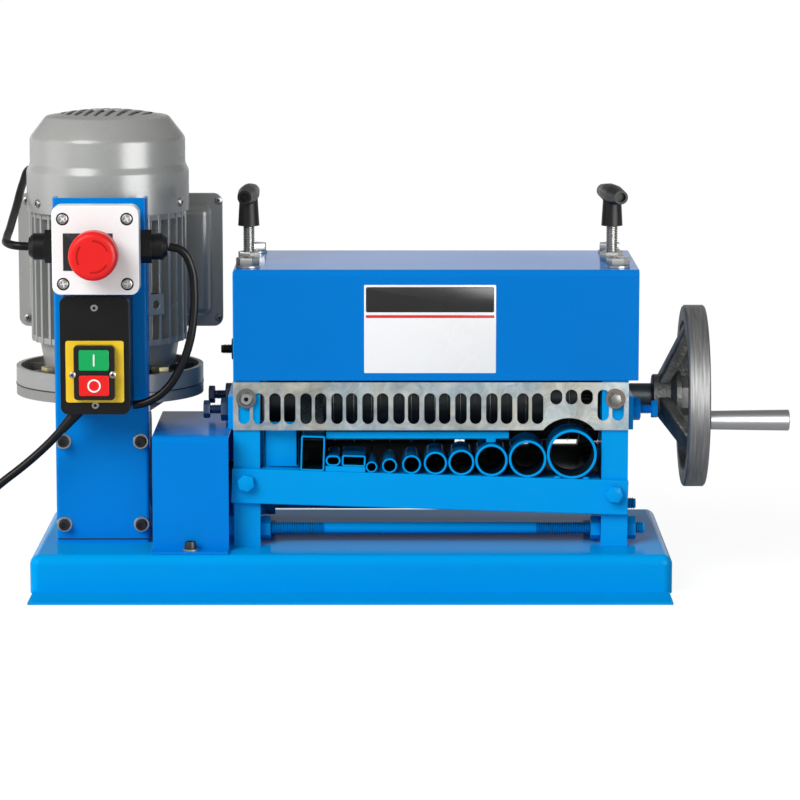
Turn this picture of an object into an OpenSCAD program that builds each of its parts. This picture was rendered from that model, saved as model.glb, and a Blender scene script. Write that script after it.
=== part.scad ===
// Motor-driven wire stripping machine: a row of guide tubes feeds cable between a knurled
// roller and a shaft of feed wheels with disc blades, driven by a vertical motor and worm gearbox.
// Millimetres, +Z up, +X to the handwheel, -Y to the operator.

/* [Base tray] */
// Width of the tray
base_w = 530; // [500:1:620]
// Depth of the tray without its feet
base_d = 222; // [214:1:290]
// Height of the tray
base_h = 32; // [26:1:60]
// How far the front and back walls are turned out along the floor
base_foot = 44; // [30:1:60]
// Radius of the folded edges
base_r = 8; // [5:0.5:12]
// Sheet thickness of the tray
base_t = 2; // [1.5:0.1:3]

/* [Side plates] */
// Outer face of the left plate, from the middle of the base
frame_left = -98; // [-99:0.5:-90]
// Clear width between the plates
frame_inside = 284; // [280:1:310]
// Thickness of a plate
side_t = 22; // [18:0.5:24]
// Front edge of the plates, from the middle of the base
frame_front = -69; // [-75:1:-66]
// Depth of the plates
frame_depth = 153; // [145:1:170]
// Height of the plates
side_h = 230; // [226:1:250]

/* [Top cover] */
// Height of the cover
cover_h = 92; // [60:1:93]
// Sheet thickness of the cover and of the guard
cover_t = 2; // [1.5:0.1:3]
// Outside radius of the bends
cover_bend = 5; // [3.5:0.5:8]
// How far the cover runs past the right plate
cover_over = 8; // [0:0.5:12]
// Distance of the cover bolts from the front and back edges of the plates
cover_bolt_in = 19; // [14:0.5:26]

/* [Front guard] */
// Height of the slotted strip
guard_h = 40; // [38:0.5:44]
// Gap between the strip and the cover
guard_gap = 1.5; // [0.5:0.1:4]
// Width of a slot
slot_w = 9.6; // [6:0.1:11]
// Height of a slot
slot_h = 26; // [18:0.5:30]
// Distance from one pair of slots to the next
slot_pitch = 25.7; // [24:0.1:26]
// Distance between the two slots of a pair
slot_pair = 12.2; // [11.5:0.1:13]
// Radius of the arch over the widest tube
arch_r = 28; // [24:0.5:32]

/* [Guide rail and tubes] */
// Height of the rail's front leg
rail_h = 29; // [24:0.5:32]
// Thickness of the rail's front leg
rail_t = 6; // [4:0.5:8]
// Slope of the rail, down to the right, in degrees
rail_tilt = 1.8; // [1:0.1:2.4]
// Height of the rail's left end over the base
rail_rise = 66.8; // [64:0.1:70]
// Depth of the shelf that the tubes stand on
shelf_d = 36; // [24:1:44]
// Thickness of the shelf
shelf_t = 5; // [3:0.5:6]
// Length of the guide tubes
tube_len = 46; // [40:1:47]

/* [Feed shafts] */
// Diameter of both shafts
shaft_d = 20; // [16:0.5:22]
// Height of the lower shaft over the base
drive_rise = 51; // [50:0.5:56]
// Module of the gear pair
gear_m = 2; // [2:0.1:2.2]
// Teeth of the lower gear
pinion_n = 26; // [24:1:28]
// Teeth of the upper gear
gear_n = 40; // [38:1:42]
// Face width of the gears
gear_w = 11; // [8:0.5:14]
// Diameter of the knurled lower roller
roller_d = 49; // [46:0.5:50]
// Gap between the feed wheels and the lower roller
nip_gap = 4.2; // [3:0.1:8]
// How far the upper shaft can be lifted
lift = 3; // [2:0.1:3.2]
// Thickness of a disc blade
blade_t = 1.5; // [1:0.1:3]
// How far a blade stands out of its feed wheel
blade_out = 1; // [0.5:0.1:2]

/* [Bearing blocks] */
// Width of a sliding bearing block
block_w = 44; // [38:0.5:50]
// Height of a sliding bearing block
block_h = 48; // [40:0.5:52]
// Outside diameter of the bronze bushes
bush_d = 28; // [26:0.5:32]
// Height of the keeper bars outside the plates
keeper_h = 28; // [26:0.5:34]
// Thickness of the keeper bars
keeper_t = 5; // [4:0.5:8]

/* [Handwheel] */
// Outside diameter of the rim
handwheel_d = 154; // [130:1:200]
// Width of the rim
rim_w = 18; // [14:0.5:24]
// Radial depth of the rim
rim_depth = 14; // [10:0.5:18]
// Diameter of the hub
hub_d = 36.5; // [32:0.5:44]
// Length of the hub
hub_len = 24; // [18:0.5:30]
// Distance from the right plate to the hub
hub_gap = 24; // [20:0.5:36]
// How far the rim stands further out than the hub
dish = 26; // [18:0.5:32]
// Distance of the crank grip from the shaft
grip_r = 63; // [50:0.5:80]
// Diameter of the crank grip at its free end
grip_d = 17.5; // [15:0.5:24]
// Length of the crank grip
grip_len = 63; // [50:1:90]

/* [Adjusting screws] */
// Diameter of the screws
screw_d = 10; // [8:0.5:12]
// Bare thread between lock nut and handle
screw_bare = 22; // [18:0.5:40]
// Length of the cross bar of a handle
tee_len = 65; // [50:1:90]
// Height of a handle
tee_h = 34.7; // [30:0.1:44]

/* [Control column] */
// Middle of the column and of the motor, from the middle of the base
drive_x = -208.5; // [-212:0.5:-206]
// Width of the column
column_w = 78; // [76:0.5:84]
// Front face of the column
column_front = -52; // [-60:0.5:-50]
// Height of the column
column_h = 290; // [280:1:340]
// Sheet thickness of the column
column_t = 3; // [2:0.1:4]
// Depth of the column's side returns
column_return = 18; // [12:0.5:19]

/* [Gearbox and motor] */
// Distance from the output shaft back to the motor axis
worm_offset = 40; // [38:0.5:44]
// Diameter of the motor flange
flange_d = 160; // [150:1:170]
// Diameter over the motor's cooling fins
motor_d = 133; // [126:0.5:138]
// Height of the finned body
motor_body_h = 111; // [100:1:130]
// Number of cooling fins
fin_count = 36; // [24:2:44]
// Diameter of the fan cowl's skirt
cowl_d = 138; // [134:0.5:150]
// Height of the fan cowl
cowl_h = 80; // [70:1:100]
// Diameter of the motor shaft
motor_shaft_d = 14; // [11:0.5:19]

/* [Capacitor box] */
// Width of the box flange
cap_w = 179; // [160:1:200]
// Height of the box flange
cap_h = 117; // [90:1:130]
// Depth of the box lid
cap_lid_d = 27; // [20:0.5:40]

/* [Emergency stop] */
// Width of the box
estop_w = 71; // [66:0.5:76]
// Height of the box
estop_h = 73; // [68:0.5:80]
// Depth of the whole box
estop_d = 56; // [48:0.5:64]
// Diameter of the mushroom head
mushroom_d = 40; // [32:0.5:46]
// Stroke of the mushroom head
estop_stroke = 5; // [3:0.1:5.5]

/* [Push-button switch] */
// Width of the switch box
switch_w = 57; // [54:0.5:64]
// Height of the switch box
switch_h = 97.6; // [92:0.1:100]
// Depth of the switch box
switch_d = 43; // [36:0.5:50]
// Width of a push button
button_w = 24.8; // [20:0.1:26]
// Height of a push button
button_h = 17; // [14:0.1:18]
// Stroke of a push button
button_stroke = 3; // [2:0.1:4]

/* [Coupling cover] */
// Width of the cover over the coupling
guard_box_w = 63; // [58:0.5:66]
// Height of the cover over the coupling
guard_box_h = 96; // [88:0.5:100]
// Depth of the cover over the coupling
guard_box_d = 143; // [125:1:144]

/* [Cords] */
// Diameter of the mains lead and of the control cables
cord_d = 7; // [6:0.1:7]

/* [Hidden] */
$fn = 64;
seat = 0.02;
slide_clear = 0.3;
run_clear = 0.05;
hole_clear = 0.4;
clear_wall = 1;

// Frame, from the middle of the base tray
left_in = frame_left + side_t;
right_in = left_in + frame_inside;
frame_right = right_in + side_t;
frame_back = frame_front + frame_depth;
left_mid = frame_left + side_t / 2;
right_mid = right_in + side_t / 2;
frame_top = base_h + side_h;
cover_top = frame_top + cover_t;
cover_low = cover_top - cover_h;
guard_top = cover_low - guard_gap;
guard_low = guard_top - guard_h;
cover_bolt_y = [frame_front + cover_bolt_in, frame_back - cover_bolt_in];

// Shafts: both in the plane Y = 0, with the gears beside the right bearing block
lower_z = base_h + drive_rise;
upper_z = lower_z + gear_m * (pinion_n + gear_n) / 2;
nip_z = lower_z + roller_d / 2;
flange_lap = 6;
flange_t = 4;
gear_gap = 0.7;
gear_right = right_in - slide_clear - flange_t - gear_gap;
gear_left = gear_right - gear_w;
roller_left = left_in + slide_clear + flange_t + gear_gap + clear_wall;
roller_right = gear_left - clear_wall;

// Bearing blocks and keepers
plate_r = cover_bend - cover_t + slide_clear;
block_low = upper_z - block_h / 2;
window_top = upper_z + block_h / 2 + lift + clear_wall;
keeper_low = base_h + guard_box_h + slide_clear;
keeper_len = 108;
keeper_bolt_y = 42;
keeper_bolt_z = keeper_low + keeper_h / 2 + 1.5;

// Rail and tubes
rail_left = frame_left - 1;
rail_len = frame_right - rail_left + 0.5;
rail_top = base_h + rail_rise;
rail_bolt_down = 11;
tube_front = frame_front - rail_t + 1;
strip_t = 4.6;
strip_d = 20;
// Round tubes: distance along the machine, outside diameter, wall, how much shorter than the others
tube_row = [
    [16.7, 9.4, 1.2, 0], [31.6, 12.5, 1.4, 0], [49.8, 15.7, 1.6, 0], [69.6, 19.3, 2, 0],
    [91.1, 21.6, 2, 0], [116, 27, 2.4, 0], [146, 31.2, 2.6, 2], [182.6, 41.4, 2.7, 11],
];
round_tubes = [for (t = tube_row) if (t[0] + t[1] / 2 < right_in - clear_wall) t];
widest_x = round_tubes[len(round_tubes) - 1][0];
// Flat-cable tubes: distance along the machine, width, height
tall_tube = [-32.5, 20, 29.4];
oval_tube = [-15.4, 12.4, 9];
flat_tube = [1.7, 19.8, 9.6];
flat_wall = 1.5;
tall_short = 4;
// Feed wheels: one over each tube, edge to edge, all but the first round a disc blade
feed_x = concat([tall_tube[0], oval_tube[0], flat_tube[0]], [for (t = round_tubes) t[0]]);
feed_edges = concat(
    [roller_left], [for (i = [1:len(feed_x) - 1]) (feed_x[i - 1] + feed_x[i]) / 2], [roller_right]
);
wheel_d = 2 * (upper_z - nip_z - nip_gap);
rib_tube = round_tubes[5];
bar_z = [guard_low - 8, guard_low - 2];
bar_y = [frame_front + 3, frame_front + 14];
bar_right = rib_tube[0] + 15;
rib_w = 8;
shield_w = 29;
shield_z = [rail_top + 1.2, guard_low + 7.5];
shield_y = frame_front + 9;
shield_side = 18;

// Tie rods
tie_y = [frame_front + 19, frame_back - 19];
tie_z = base_h + 12.5;
tie_out = 15.5;
tie_d = 10;
nut10_af = 17;
nut10_h = 8;

// Handwheel, measured from the right plate
hub_left = frame_right + hub_gap;
hub_right = hub_left + hub_len;
rim_left = hub_left + dish;
rim_right = rim_left + rim_w;
spoke_w = 20;
spoke_t = 10;
spoke_angle = -20;
grip_angle = -10.5;
nut20_af = 1.5 * shaft_d;
nut20_h = 10;
grip_gap = 3;
grip_left = rim_right + grip_gap;
grip_right = grip_left + grip_len;
grip_y = -grip_r * cos(grip_angle);
grip_z = upper_z + grip_r * sin(grip_angle);
stud_d = 10;
boss_d = 24;

// Column, gearbox and motor
column_left = drive_x - column_w / 2;
column_right = drive_x + column_w / 2;
column_top = base_h + column_h;
box_left = column_left + column_t + slide_clear;
box_right = column_right - column_t - slide_clear;
gearbox_top = lower_z + 49;
gearbox_back = 36;
gearbox_r = 12;
barrel_d = 66;
bearing_d = 60;
gear_flange_t = 9;
gear_flange_z = gearbox_top + 15;
motor_z = gear_flange_z + gear_flange_t;
motor_flange_t = 15;
dish_floor = 6;
dish_wall = 4;
motor_neck_h = 22;
neck_d = [108, 119];
body_low = motor_z + motor_flange_t + motor_neck_h;
body_high = body_low + motor_body_h;
cowl_top = body_high + cowl_h;
fin_depth = 9;
fin_t = 3;
bolt_circle = flange_d - 30;
pad_angle = [-49, 49];
pad_z = [body_low + 26, body_low + 44];
pad_w = 17;
column_bolt_x = 64.5;
column_bolt_z = 70.5;
coupling_d = 40;
coupling_left = column_right + 8;
coupling_right = frame_left - 12;
shaft_split = (coupling_left + coupling_right) / 2;
output_d = 18;
guard_box_right = frame_left - 3.4;
guard_box_left = guard_box_right - guard_box_w;
guard_box_mid = (guard_box_left + guard_box_right) / 2;
guard_box_front = frame_front - 20;
guard_box_t = 2;
foot_d = 16;

// Capacitor box behind the motor
cap_x = drive_x + 4;
cap_low = body_low;
cap_front = worm_offset + motor_d / 2 + 0.3;
cap_base_d = 13;
cap_flange_t = 5;
cap_inset = 10;
cap_r = 8;
cap_back = cap_front + cap_base_d + cap_flange_t + cap_lid_d;

// Emergency stop
estop_x = column_left + 4.5 + estop_w / 2;
estop_low = column_top - estop_h - 1;
estop_z = estop_low + estop_h / 2 - 2;
estop_front = column_front - estop_d;
estop_lid_d = 18;
estop_wall = 2.5;
estop_r = 7;
stem_d = 16;
spigot_d = 9;
spigot_h = 8;
collar_d = 28;
collar_h = 6;
head_h = 18;
head_gap = estop_stroke + 1;
head_back = estop_front - collar_h - head_gap;
head_front = head_back - head_h;
gland_y = column_front - 25.5;
gland_z = estop_low + estop_h / 2;
gland_d = 24;
gland_len = 22;

// Push-button switch
switch_x = drive_x - 1.7;
box_gap = 3;
switch_low = estop_low - box_gap - switch_h;
switch_front = column_front - switch_d;
plate_w = 47.8;
plate_h = 51;
plate_t = 1.5;
plate_z = switch_low + 35.7;
bezel_w = 33.4;
bezel_h = 45;
bezel_t = 7;
bezel_front = switch_front - plate_t - bezel_t;
button_gap = 4;
button_front = bezel_front - 1.5;
button_d = 14;
start_z = plate_z + (button_h + button_gap) / 2;
stop_z = plate_z - (button_h + button_gap) / 2;
relief_x = switch_x - 16;
relief_y = column_front - 28;
relief_len = 20;
relief_lean = 42;
relief_plug_d = 8.6;
relief_end = [
    relief_x - relief_len * sin(relief_lean), relief_y, switch_low - relief_len * cos(relief_lean)
];

// The origin lies under the middle of the object without its mains lead
origin_x = (cap_x - cap_w / 2 + grip_right) / 2;
foot_edge = base_d / 2 + base_foot;
origin_y = (min(head_front, -foot_edge) + max(cap_back, foot_edge)) / 2;

// Building shapes
module in_frame() translate([-origin_x, -origin_y, 0]) children();
module span(low, high) translate(low) cube(high - low);
module rod_x(d, x0, x1) translate([x0, 0, 0]) rotate([0, 90, 0]) cylinder(d = d, h = x1 - x0);
module rod_y(d, y0, y1) translate([0, y0, 0]) rotate([-90, 0, 0]) cylinder(d = d, h = y1 - y0);
module rod_z(d, z0, z1) translate([0, 0, z0]) cylinder(d = d, h = z1 - z0);
module hex_x(af, x0, x1) translate([x0, 0, 0]) rotate([0, 90, 0]) hex_z(af, 0, x1 - x0);
module hex_y(af, y0, y1) translate([0, y0, 0]) rotate([-90, 0, 0]) hex_z(af, 0, y1 - y0);
module hex_z(af, z0, z1) translate([0, 0, z0]) cylinder(d = af / cos(30), h = z1 - z0, $fn = 6);

// Rectangle centred on the origin with round corners
module round_rect(w, h, r) {
    square([w - 2 * r, h], center = true);
    square([w, h - 2 * r], center = true);
    for (x = [-1, 1], y = [-1, 1]) translate([x * (w / 2 - r), y * (h / 2 - r)]) circle(r);
}

// Upright slot with round ends
module obround(w, h) {
    square([w, h - w], center = true);
    for (s = [-1, 1]) translate([0, s * (h - w) / 2]) circle(d = w);
}

// Doorway outline standing on the X axis: two upright sides and a top with bent corners
module doorway(w, h, r) {
    translate([-w / 2, 0]) square([w, h - r]);
    translate([-w / 2 + r, 0]) square([w - 2 * r, h]);
    for (s = [-1, 1]) translate([s * (w / 2 - r), h - r]) circle(r);
}

// Folded channel along X, open below, from its outline across Y and Z
module channel_x(x0, x1, y0, y1, z0, z1, t, r)
    translate([x0, (y0 + y1) / 2, z0]) rotate([90, 0, 90]) linear_extrude(x1 - x0) difference() {
        doorway(y1 - y0, z1 - z0, r);
        translate([0, -1]) doorway(y1 - y0 - 2 * t, z1 - z0 - t + 1, max(r - t, 0.5));
    }

// Panel across X and Z, from its middle, with its front at y0
module panel(w, h, r, y0, y1)
    translate([0, y1, 0]) rotate([90, 0, 0]) linear_extrude(y1 - y0) round_rect(w, h, r);

// Block standing on z = 0 whose upright and top edges are round
module soft_block(w, d, h, r) {
    translate([-w / 2 + r, -d / 2 + r, 0]) cube([w - 2 * r, d - 2 * r, h]);
    linear_extrude(h - r) round_rect(w, d, r);
    for (s = [-1, 1]) {
        translate([0, s * (d / 2 - r), h - r]) rod_x(2 * r, -w / 2 + r, w / 2 - r);
        translate([s * (w / 2 - r), 0, h - r]) rod_y(2 * r, -d / 2 + r, d / 2 - r);
        for (u = [-1, 1]) translate([s * (w / 2 - r), u * (d / 2 - r), h - r]) sphere(r);
    }
}

// Hexagon bolt along -Y, head in front, washer under it, shank to y1
module bolt_y(d, af, head_h, washer_d, washer_t, y_face, y1) {
    hex_y(af, y_face - washer_t - seat - head_h, y_face - washer_t - seat);
    rod_y(d, y_face - washer_t - seat - 1, y1);
    washer_y(d, washer_d, y_face - washer_t, y_face);
}
module washer_y(d, washer_d, y0, y1) difference() {
    rod_y(washer_d, y0, y1);
    rod_y(d + hole_clear, y0 - 1, y1 + 1);
}

// Socket-head screw along -Y, with its hexagon socket
module socket_y(d, head_d, head_h, washer_d, washer_t, y_face, y1) {
    top = y_face - washer_t - seat - head_h;
    difference() {
        union() {
            rod_y(head_d, top, top + head_h);
            rod_y(d, top + 1, y1);
        }
        hex_y(d * 0.75, top - 1, top + head_h * 0.55);
    }
    washer_y(d, washer_d, y_face - washer_t, y_face);
}

// Involute gear outline: tooth 0 points along +X, flanks thinned by the backlash
pressure = 20;
backlash = 0.3;
function involute(a) = tan(a) - a * PI / 180;
function flank_half(n, r) = let (
    rp = gear_m * n / 2,
    rb = rp * cos(pressure),
    a = r > rb ? acos(rb / r) : 0
) 180 / PI * ((PI * gear_m / 2 - backlash) / (2 * rp) + involute(pressure) - involute(a));
function gear_points(n) = let (
    rp = gear_m * n / 2,
    radii = [rp - 1.25 * gear_m, rp - 0.5 * gear_m, rp + 0.25 * gear_m, rp + gear_m]
) [
    for (k = [0:n - 1]) each concat(
        [for (i = [0:3]) let (a = 360 * k / n - flank_half(n, radii[i])) radii[i] * [cos(a), sin(a)]],
        [for (i = [3:-1:0]) let (a = 360 * k / n + flank_half(n, radii[i])) radii[i] * [cos(a), sin(a)]]
    )
];
module gear_x(n, x0, x1, turn)
    translate([x0, 0, 0]) rotate([turn, 0, 0]) rotate([90, 0, 90]) linear_extrude(x1 - x0)
        polygon(gear_points(n));

// Cord swept along points: a smooth curve, a ring of corners at each step, closed ends
function curve(p, i, t) = let (
    a = p[max(i - 1, 0)],
    b = p[i],
    c = p[i + 1],
    d = p[min(i + 2, len(p) - 1)]
) 0.5 * (2 * b + (c - a) * t + (2 * a - 5 * b + 4 * c - d) * t * t + (3 * b - a - 3 * c + d) * t * t * t);
function smooth(p, steps) = concat(
    [for (i = [0:len(p) - 2], k = [0:steps - 1]) curve(p, i, k / steps)], [p[len(p) - 1]]
);
function unit(v) = v / norm(v);
function heading(p, i) = unit(p[min(i + 1, len(p) - 1)] - p[max(i - 1, 0)]);
module cord(p, d, sides, side_hint) {
    rings = [
        for (i = [0:len(p) - 1]) let (
            t = heading(p, i),
            u = unit(cross(side_hint, t)),
            v = cross(t, u)
        ) for (k = [0:sides - 1]) p[i] + d / 2 * (cos(360 * k / sides) * u + sin(360 * k / sides) * v)
    ];
    n = len(p);
    walls = [
        for (i = [0:n - 2], k = [0:sides - 1]) let (
            a = i * sides + k,
            b = i * sides + (k + 1) % sides
        ) each [[a, a + sides, b], [b, a + sides, b + sides]]
    ];
    caps = [
        for (k = [1:sides - 2]) each [
            [0, k, k + 1],
            [(n - 1) * sides, (n - 1) * sides + k + 1, (n - 1) * sides + k],
        ]
    ];
    polyhedron(rings, concat(walls, caps));
}

// Routes of the cords, from the middle of the base
estop_cable_route = [
    [-149.6, -77.5, 284.5], [-139, -77.5, 281], [-131.5, -77.6, 268], [-129, -78, 247], [-130, -78.4, 224],
    [-134, -78.6, 202], [-142, -78.6, 182], [-154, -78.5, 165], [-167, -78, 156], [-176, -77.3, 153.2],
    [-180.6, -77, 152.6],
];
motor_cable_route = [
    [-265.6, -77.5, 284.5], [-275, -76.5, 285], [-283, -68, 286], [-286, -48, 288], [-286, -24, 293],
    [-286, 4, 300], [-285.5, 30, 308], [-285, 54, 317], [-284, 76, 325], [-283, 94, 331],
    [-281, 108, 332], [-279, 119, 327], [-278, 124, 319], [-278, 125, 310.6],
];
// The mains lead runs from the end of its strain relief to the first turn of the coil
mains_route = [
    [-244.3, -80, 127.3], [-249, -80, 122.1], [-258, -80.2, 115], [-267, -80.8, 107.8],
    [-277, -81.6, 99.6], [-288, -82.6, 90.4], [-299, -84, 80.2], [-310, -86, 68], [-320, -88, 54.5],
    [-329, -90.4, 40.5], [-339, -93, 27], [-352, -96.6, 14.5], [-368, -100, 7.4], [-386, -103, 5],
    [-403, -104.7, 4.6],
];
coil_mid = [-410, -53, 4.6];
coil_in = 32;
coil_step = 7.5;
coil_turns = 5.25;
coil_rings = 24;
coil_start = -90;
coil_climb = 7.5;
function coil_angle(t) = coil_start - 360 * coil_turns * t;
function coil_radius(t) = coil_in + coil_step * coil_turns * abs(t - 0.5);
function coil_height(t) = coil_climb * min(max((t - 0.5) * coil_turns * 2 + 0.5, 0), 1);
coil_route = [
    for (i = [0:round(coil_turns * coil_rings)]) let (t = i / (coil_turns * coil_rings))
        coil_mid + [coil_radius(t) * cos(coil_angle(t)), coil_radius(t) * sin(coil_angle(t)), coil_height(t)]
];
// Least gap between turns that lie more than half a turn apart
coil_gap = min([
    for (i = [0:len(coil_route) - 1], k = [i + coil_rings / 2:len(coil_route) - 1])
        norm(coil_route[i] - coil_route[k])
]) - cord_d;
echo(coil_gap = coil_gap);
coil_first = coil_route[0];
coil_last = coil_route[len(coil_route) - 1];
plug_size = [34, 35, 28];
plug_mid = [coil_last[0] - 2, coil_last[1] + 76, plug_size[2] / 2 + 0.1];
plug_tail = 28;
plug_neck = 14;
plug_route = [
    coil_last, coil_last + [0, cord_d, 0], coil_last + [-0.5, 20, 1], plug_mid - [0, plug_tail + 8, 0.4],
    plug_mid - [0, plug_tail, 0],
];

// Base and frame
foot_notch = 2.5;
module base_tray() color("dodgerblue") in_frame() difference() {
    union() {
        soft_block(base_w, base_d, base_h, base_r);
        for (s = [-1, 1]) translate([0, s * (base_d + base_foot - 1) / 2, base_t / 2])
            cube([base_w - 2 * foot_notch, base_foot + 1, base_t], center = true);
    }
    translate([0, 0, -1])
        soft_block(base_w - 2 * base_t, base_d - 2 * base_t, base_h - base_t + 1, base_r - base_t);
    translate([guard_box_mid, guard_box_front - foot_d / 2, 0])
        rod_z(6 + hole_clear, base_h - base_t - 1, base_h + 1);
}

// One side plate between x0 and x1, with the window of its sliding bearing block
module side_plate(x0, x1, x_mid) difference() {
    translate([x0, (frame_front + frame_back) / 2, base_h]) rotate([90, 0, 90]) linear_extrude(x1 - x0)
        doorway(frame_depth, side_h, plate_r);
    span(
        [x0 - 1, -block_w / 2 - slide_clear, block_low - slide_clear],
        [x1 + 1, block_w / 2 + slide_clear, window_top]
    );
    translate([0, 0, lower_z]) rod_x(bush_d + 2 * seat, x0 - 1, x1 + 1);
    for (y = tie_y) translate([0, y, tie_z]) rod_x(tie_d + hole_clear, x0 - 1, x1 + 1);
    translate([x_mid, 0, 0]) rod_z(screw_d + hole_clear, window_top - 1, frame_top + 1);
    for (y = cover_bolt_y) translate([x_mid, y, 0]) rod_z(8 + hole_clear, frame_top - 24, frame_top + 1);
    translate([x_mid, 0, guard_bolt_z]) rod_y(8 + hole_clear, frame_front - 1, frame_front + 24);
    on_rail() translate([x_mid - rail_left, 0, -rail_bolt_down])
        rod_y(8 + hole_clear, frame_front - 1, frame_front + 24);
    for (s = [-1, 1]) translate([0, s * keeper_bolt_y, keeper_bolt_z])
        rod_x(8 + hole_clear, x0 - 1, x1 + 1);
}
module left_side_plate() color("dodgerblue") in_frame() difference() {
    side_plate(frame_left, left_in, left_mid);
    translate([0, 0, stud_z]) rod_x(8 + hole_clear, frame_left - 1, frame_left + stud_in + hole_clear);
}
module right_side_plate() color("dodgerblue") in_frame() side_plate(right_in, frame_right, right_mid);

module top_cover() color("dodgerblue") in_frame() difference() {
    channel_x(
        frame_left + 1, frame_right + cover_over, frame_front - cover_t, frame_back + cover_t,
        cover_low, cover_top, cover_t, cover_bend
    );
    for (x = [left_mid, right_mid]) {
        translate([x, 0, 0]) rod_z(screw_d + 2 * hole_clear, frame_top - 1, cover_top + 1);
        for (y = cover_bolt_y) translate([x, y, 0]) rod_z(8 + 2 * hole_clear, frame_top - 1, cover_top + 1);
    }
}

// Slotted strip in front of the blades
guard_bolt_z = guard_low + 26.5;
slot_up = 18;
slot_first = 9;
slot_pairs = floor((widest_x - arch_r - frame_left - slot_first) / slot_pitch) + 1;
short_slot = [10, 12.5];
short_pitch = 12.65;
short_up = 27.7;
end_slot_up = 20.9;
end_slots = [-21.1, -8.8];
arch_up = -17.8;
arch_shift = -2;
module front_guard() color("silver") in_frame()
    translate([0, frame_front, 0]) rotate([90, 0, 0]) linear_extrude(cover_t) difference() {
        translate([frame_left, guard_low]) square([frame_right - frame_left, guard_h]);
        for (k = [0:slot_pairs - 1], s = [0, slot_pair])
            translate([frame_left + slot_first + k * slot_pitch + s, guard_low + slot_up])
                obround(slot_w, slot_h);
        for (k = [-1:1]) translate([widest_x + k * short_pitch, guard_low + short_up])
            obround(short_slot[0], short_slot[1]);
        for (x = end_slots) translate([frame_right + x, guard_low + end_slot_up]) obround(slot_w, slot_h);
        translate([widest_x + arch_shift, guard_low + arch_up]) circle(arch_r);
        for (x = [left_mid, right_mid]) translate([x, guard_bolt_z]) circle(d = 8 + hole_clear);
    }

// Sloping rail: X runs along its top edge from the left end, Z is square to that edge
module on_rail() translate([rail_left, 0, rail_top]) rotate([0, rail_tilt, 0]) children();
function along(x) = x - rail_left;
module guide_rail() color("dodgerblue") in_frame() on_rail() difference() {
    union() {
        span([0, frame_front - rail_t, -rail_h], [rail_len, frame_front, 0]);
        span(
            [along(left_in) + clear_wall, frame_front - 1, -shelf_t],
            [along(right_in) - clear_wall, frame_front + shelf_d, 0]
        );
    }
    for (x = [left_mid, right_mid]) translate([along(x), 0, -rail_bolt_down])
        rod_y(8 + hole_clear, frame_front - rail_t - 1, frame_front + 1);
}
module round_tube(d, wall, shorter) difference() {
    rod_y(d, tube_front, tube_front + tube_len - shorter);
    rod_y(d - 2 * wall, tube_front - 1, tube_front + tube_len + 1);
}
module round_guide_tubes() color("dodgerblue") in_frame() on_rail() for (t = round_tubes)
    translate([along(t[0]), 0, t[1] / 2 + seat]) round_tube(t[1], t[2], t[3]);

// Flat-cable tubes: a tall one, an oval one and a low one, the last two on a strip
module flat_tube(t, r, long) translate([along(t[0]), tube_front + long, t[2] / 2]) rotate([90, 0, 0])
    linear_extrude(long) difference() {
        round_rect(t[1], t[2], r);
        round_rect(t[1] - 2 * flat_wall, t[2] - 2 * flat_wall, max(r - flat_wall, 0.4));
    }
module flat_guide_tubes() color("dodgerblue") in_frame() on_rail() {
    translate([0, 0, seat]) flat_tube(tall_tube, 2, tube_len - tall_short);
    translate([0, 0, strip_t + 2 * seat]) flat_tube(oval_tube, oval_tube[2] / 2 - 0.1, tube_len);
    translate([0, 0, strip_t + 2 * seat]) flat_tube(flat_tube, 2, tube_len);
    span(
        [along(oval_tube[0] - oval_tube[1] / 2), tube_front, seat],
        [along(flat_tube[0] + flat_tube[1] / 2), tube_front + strip_d, strip_t + seat]
    );
}

// Flat bar over the small tubes, with a rib down to the third largest
function rail_z(x) = rail_top - along(x) * tan(rail_tilt);
module tube_bar() color("dodgerblue") in_frame() {
    span(
        [tall_tube[0] + tall_tube[1] / 2 + 1.5, bar_y[0], bar_z[0]],
        [bar_right, bar_y[1], bar_z[1]]
    );
    span(
        [rib_tube[0] - rib_w / 2, bar_y[0], rail_z(rib_tube[0]) + rib_tube[1] + slide_clear],
        [rib_tube[0] + rib_w / 2, bar_y[1], bar_z[0] + 1]
    );
}

// Folded shield beside the tubes, on the left plate
module side_shield() color("dodgerblue") in_frame() {
    x1 = left_in + seat + 3 + shield_w;
    span([left_in + seat, shield_y, shield_z[0]], [x1, shield_y + cover_t, shield_z[1]]);
    span([x1 - cover_t, shield_y, shield_z[0]], [x1, shield_y + shield_side, shield_z[1]]);
    span([left_in + seat, shield_y, shield_z[0]], [left_in + seat + cover_t, shield_y + 10, shield_z[1]]);
}

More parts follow.
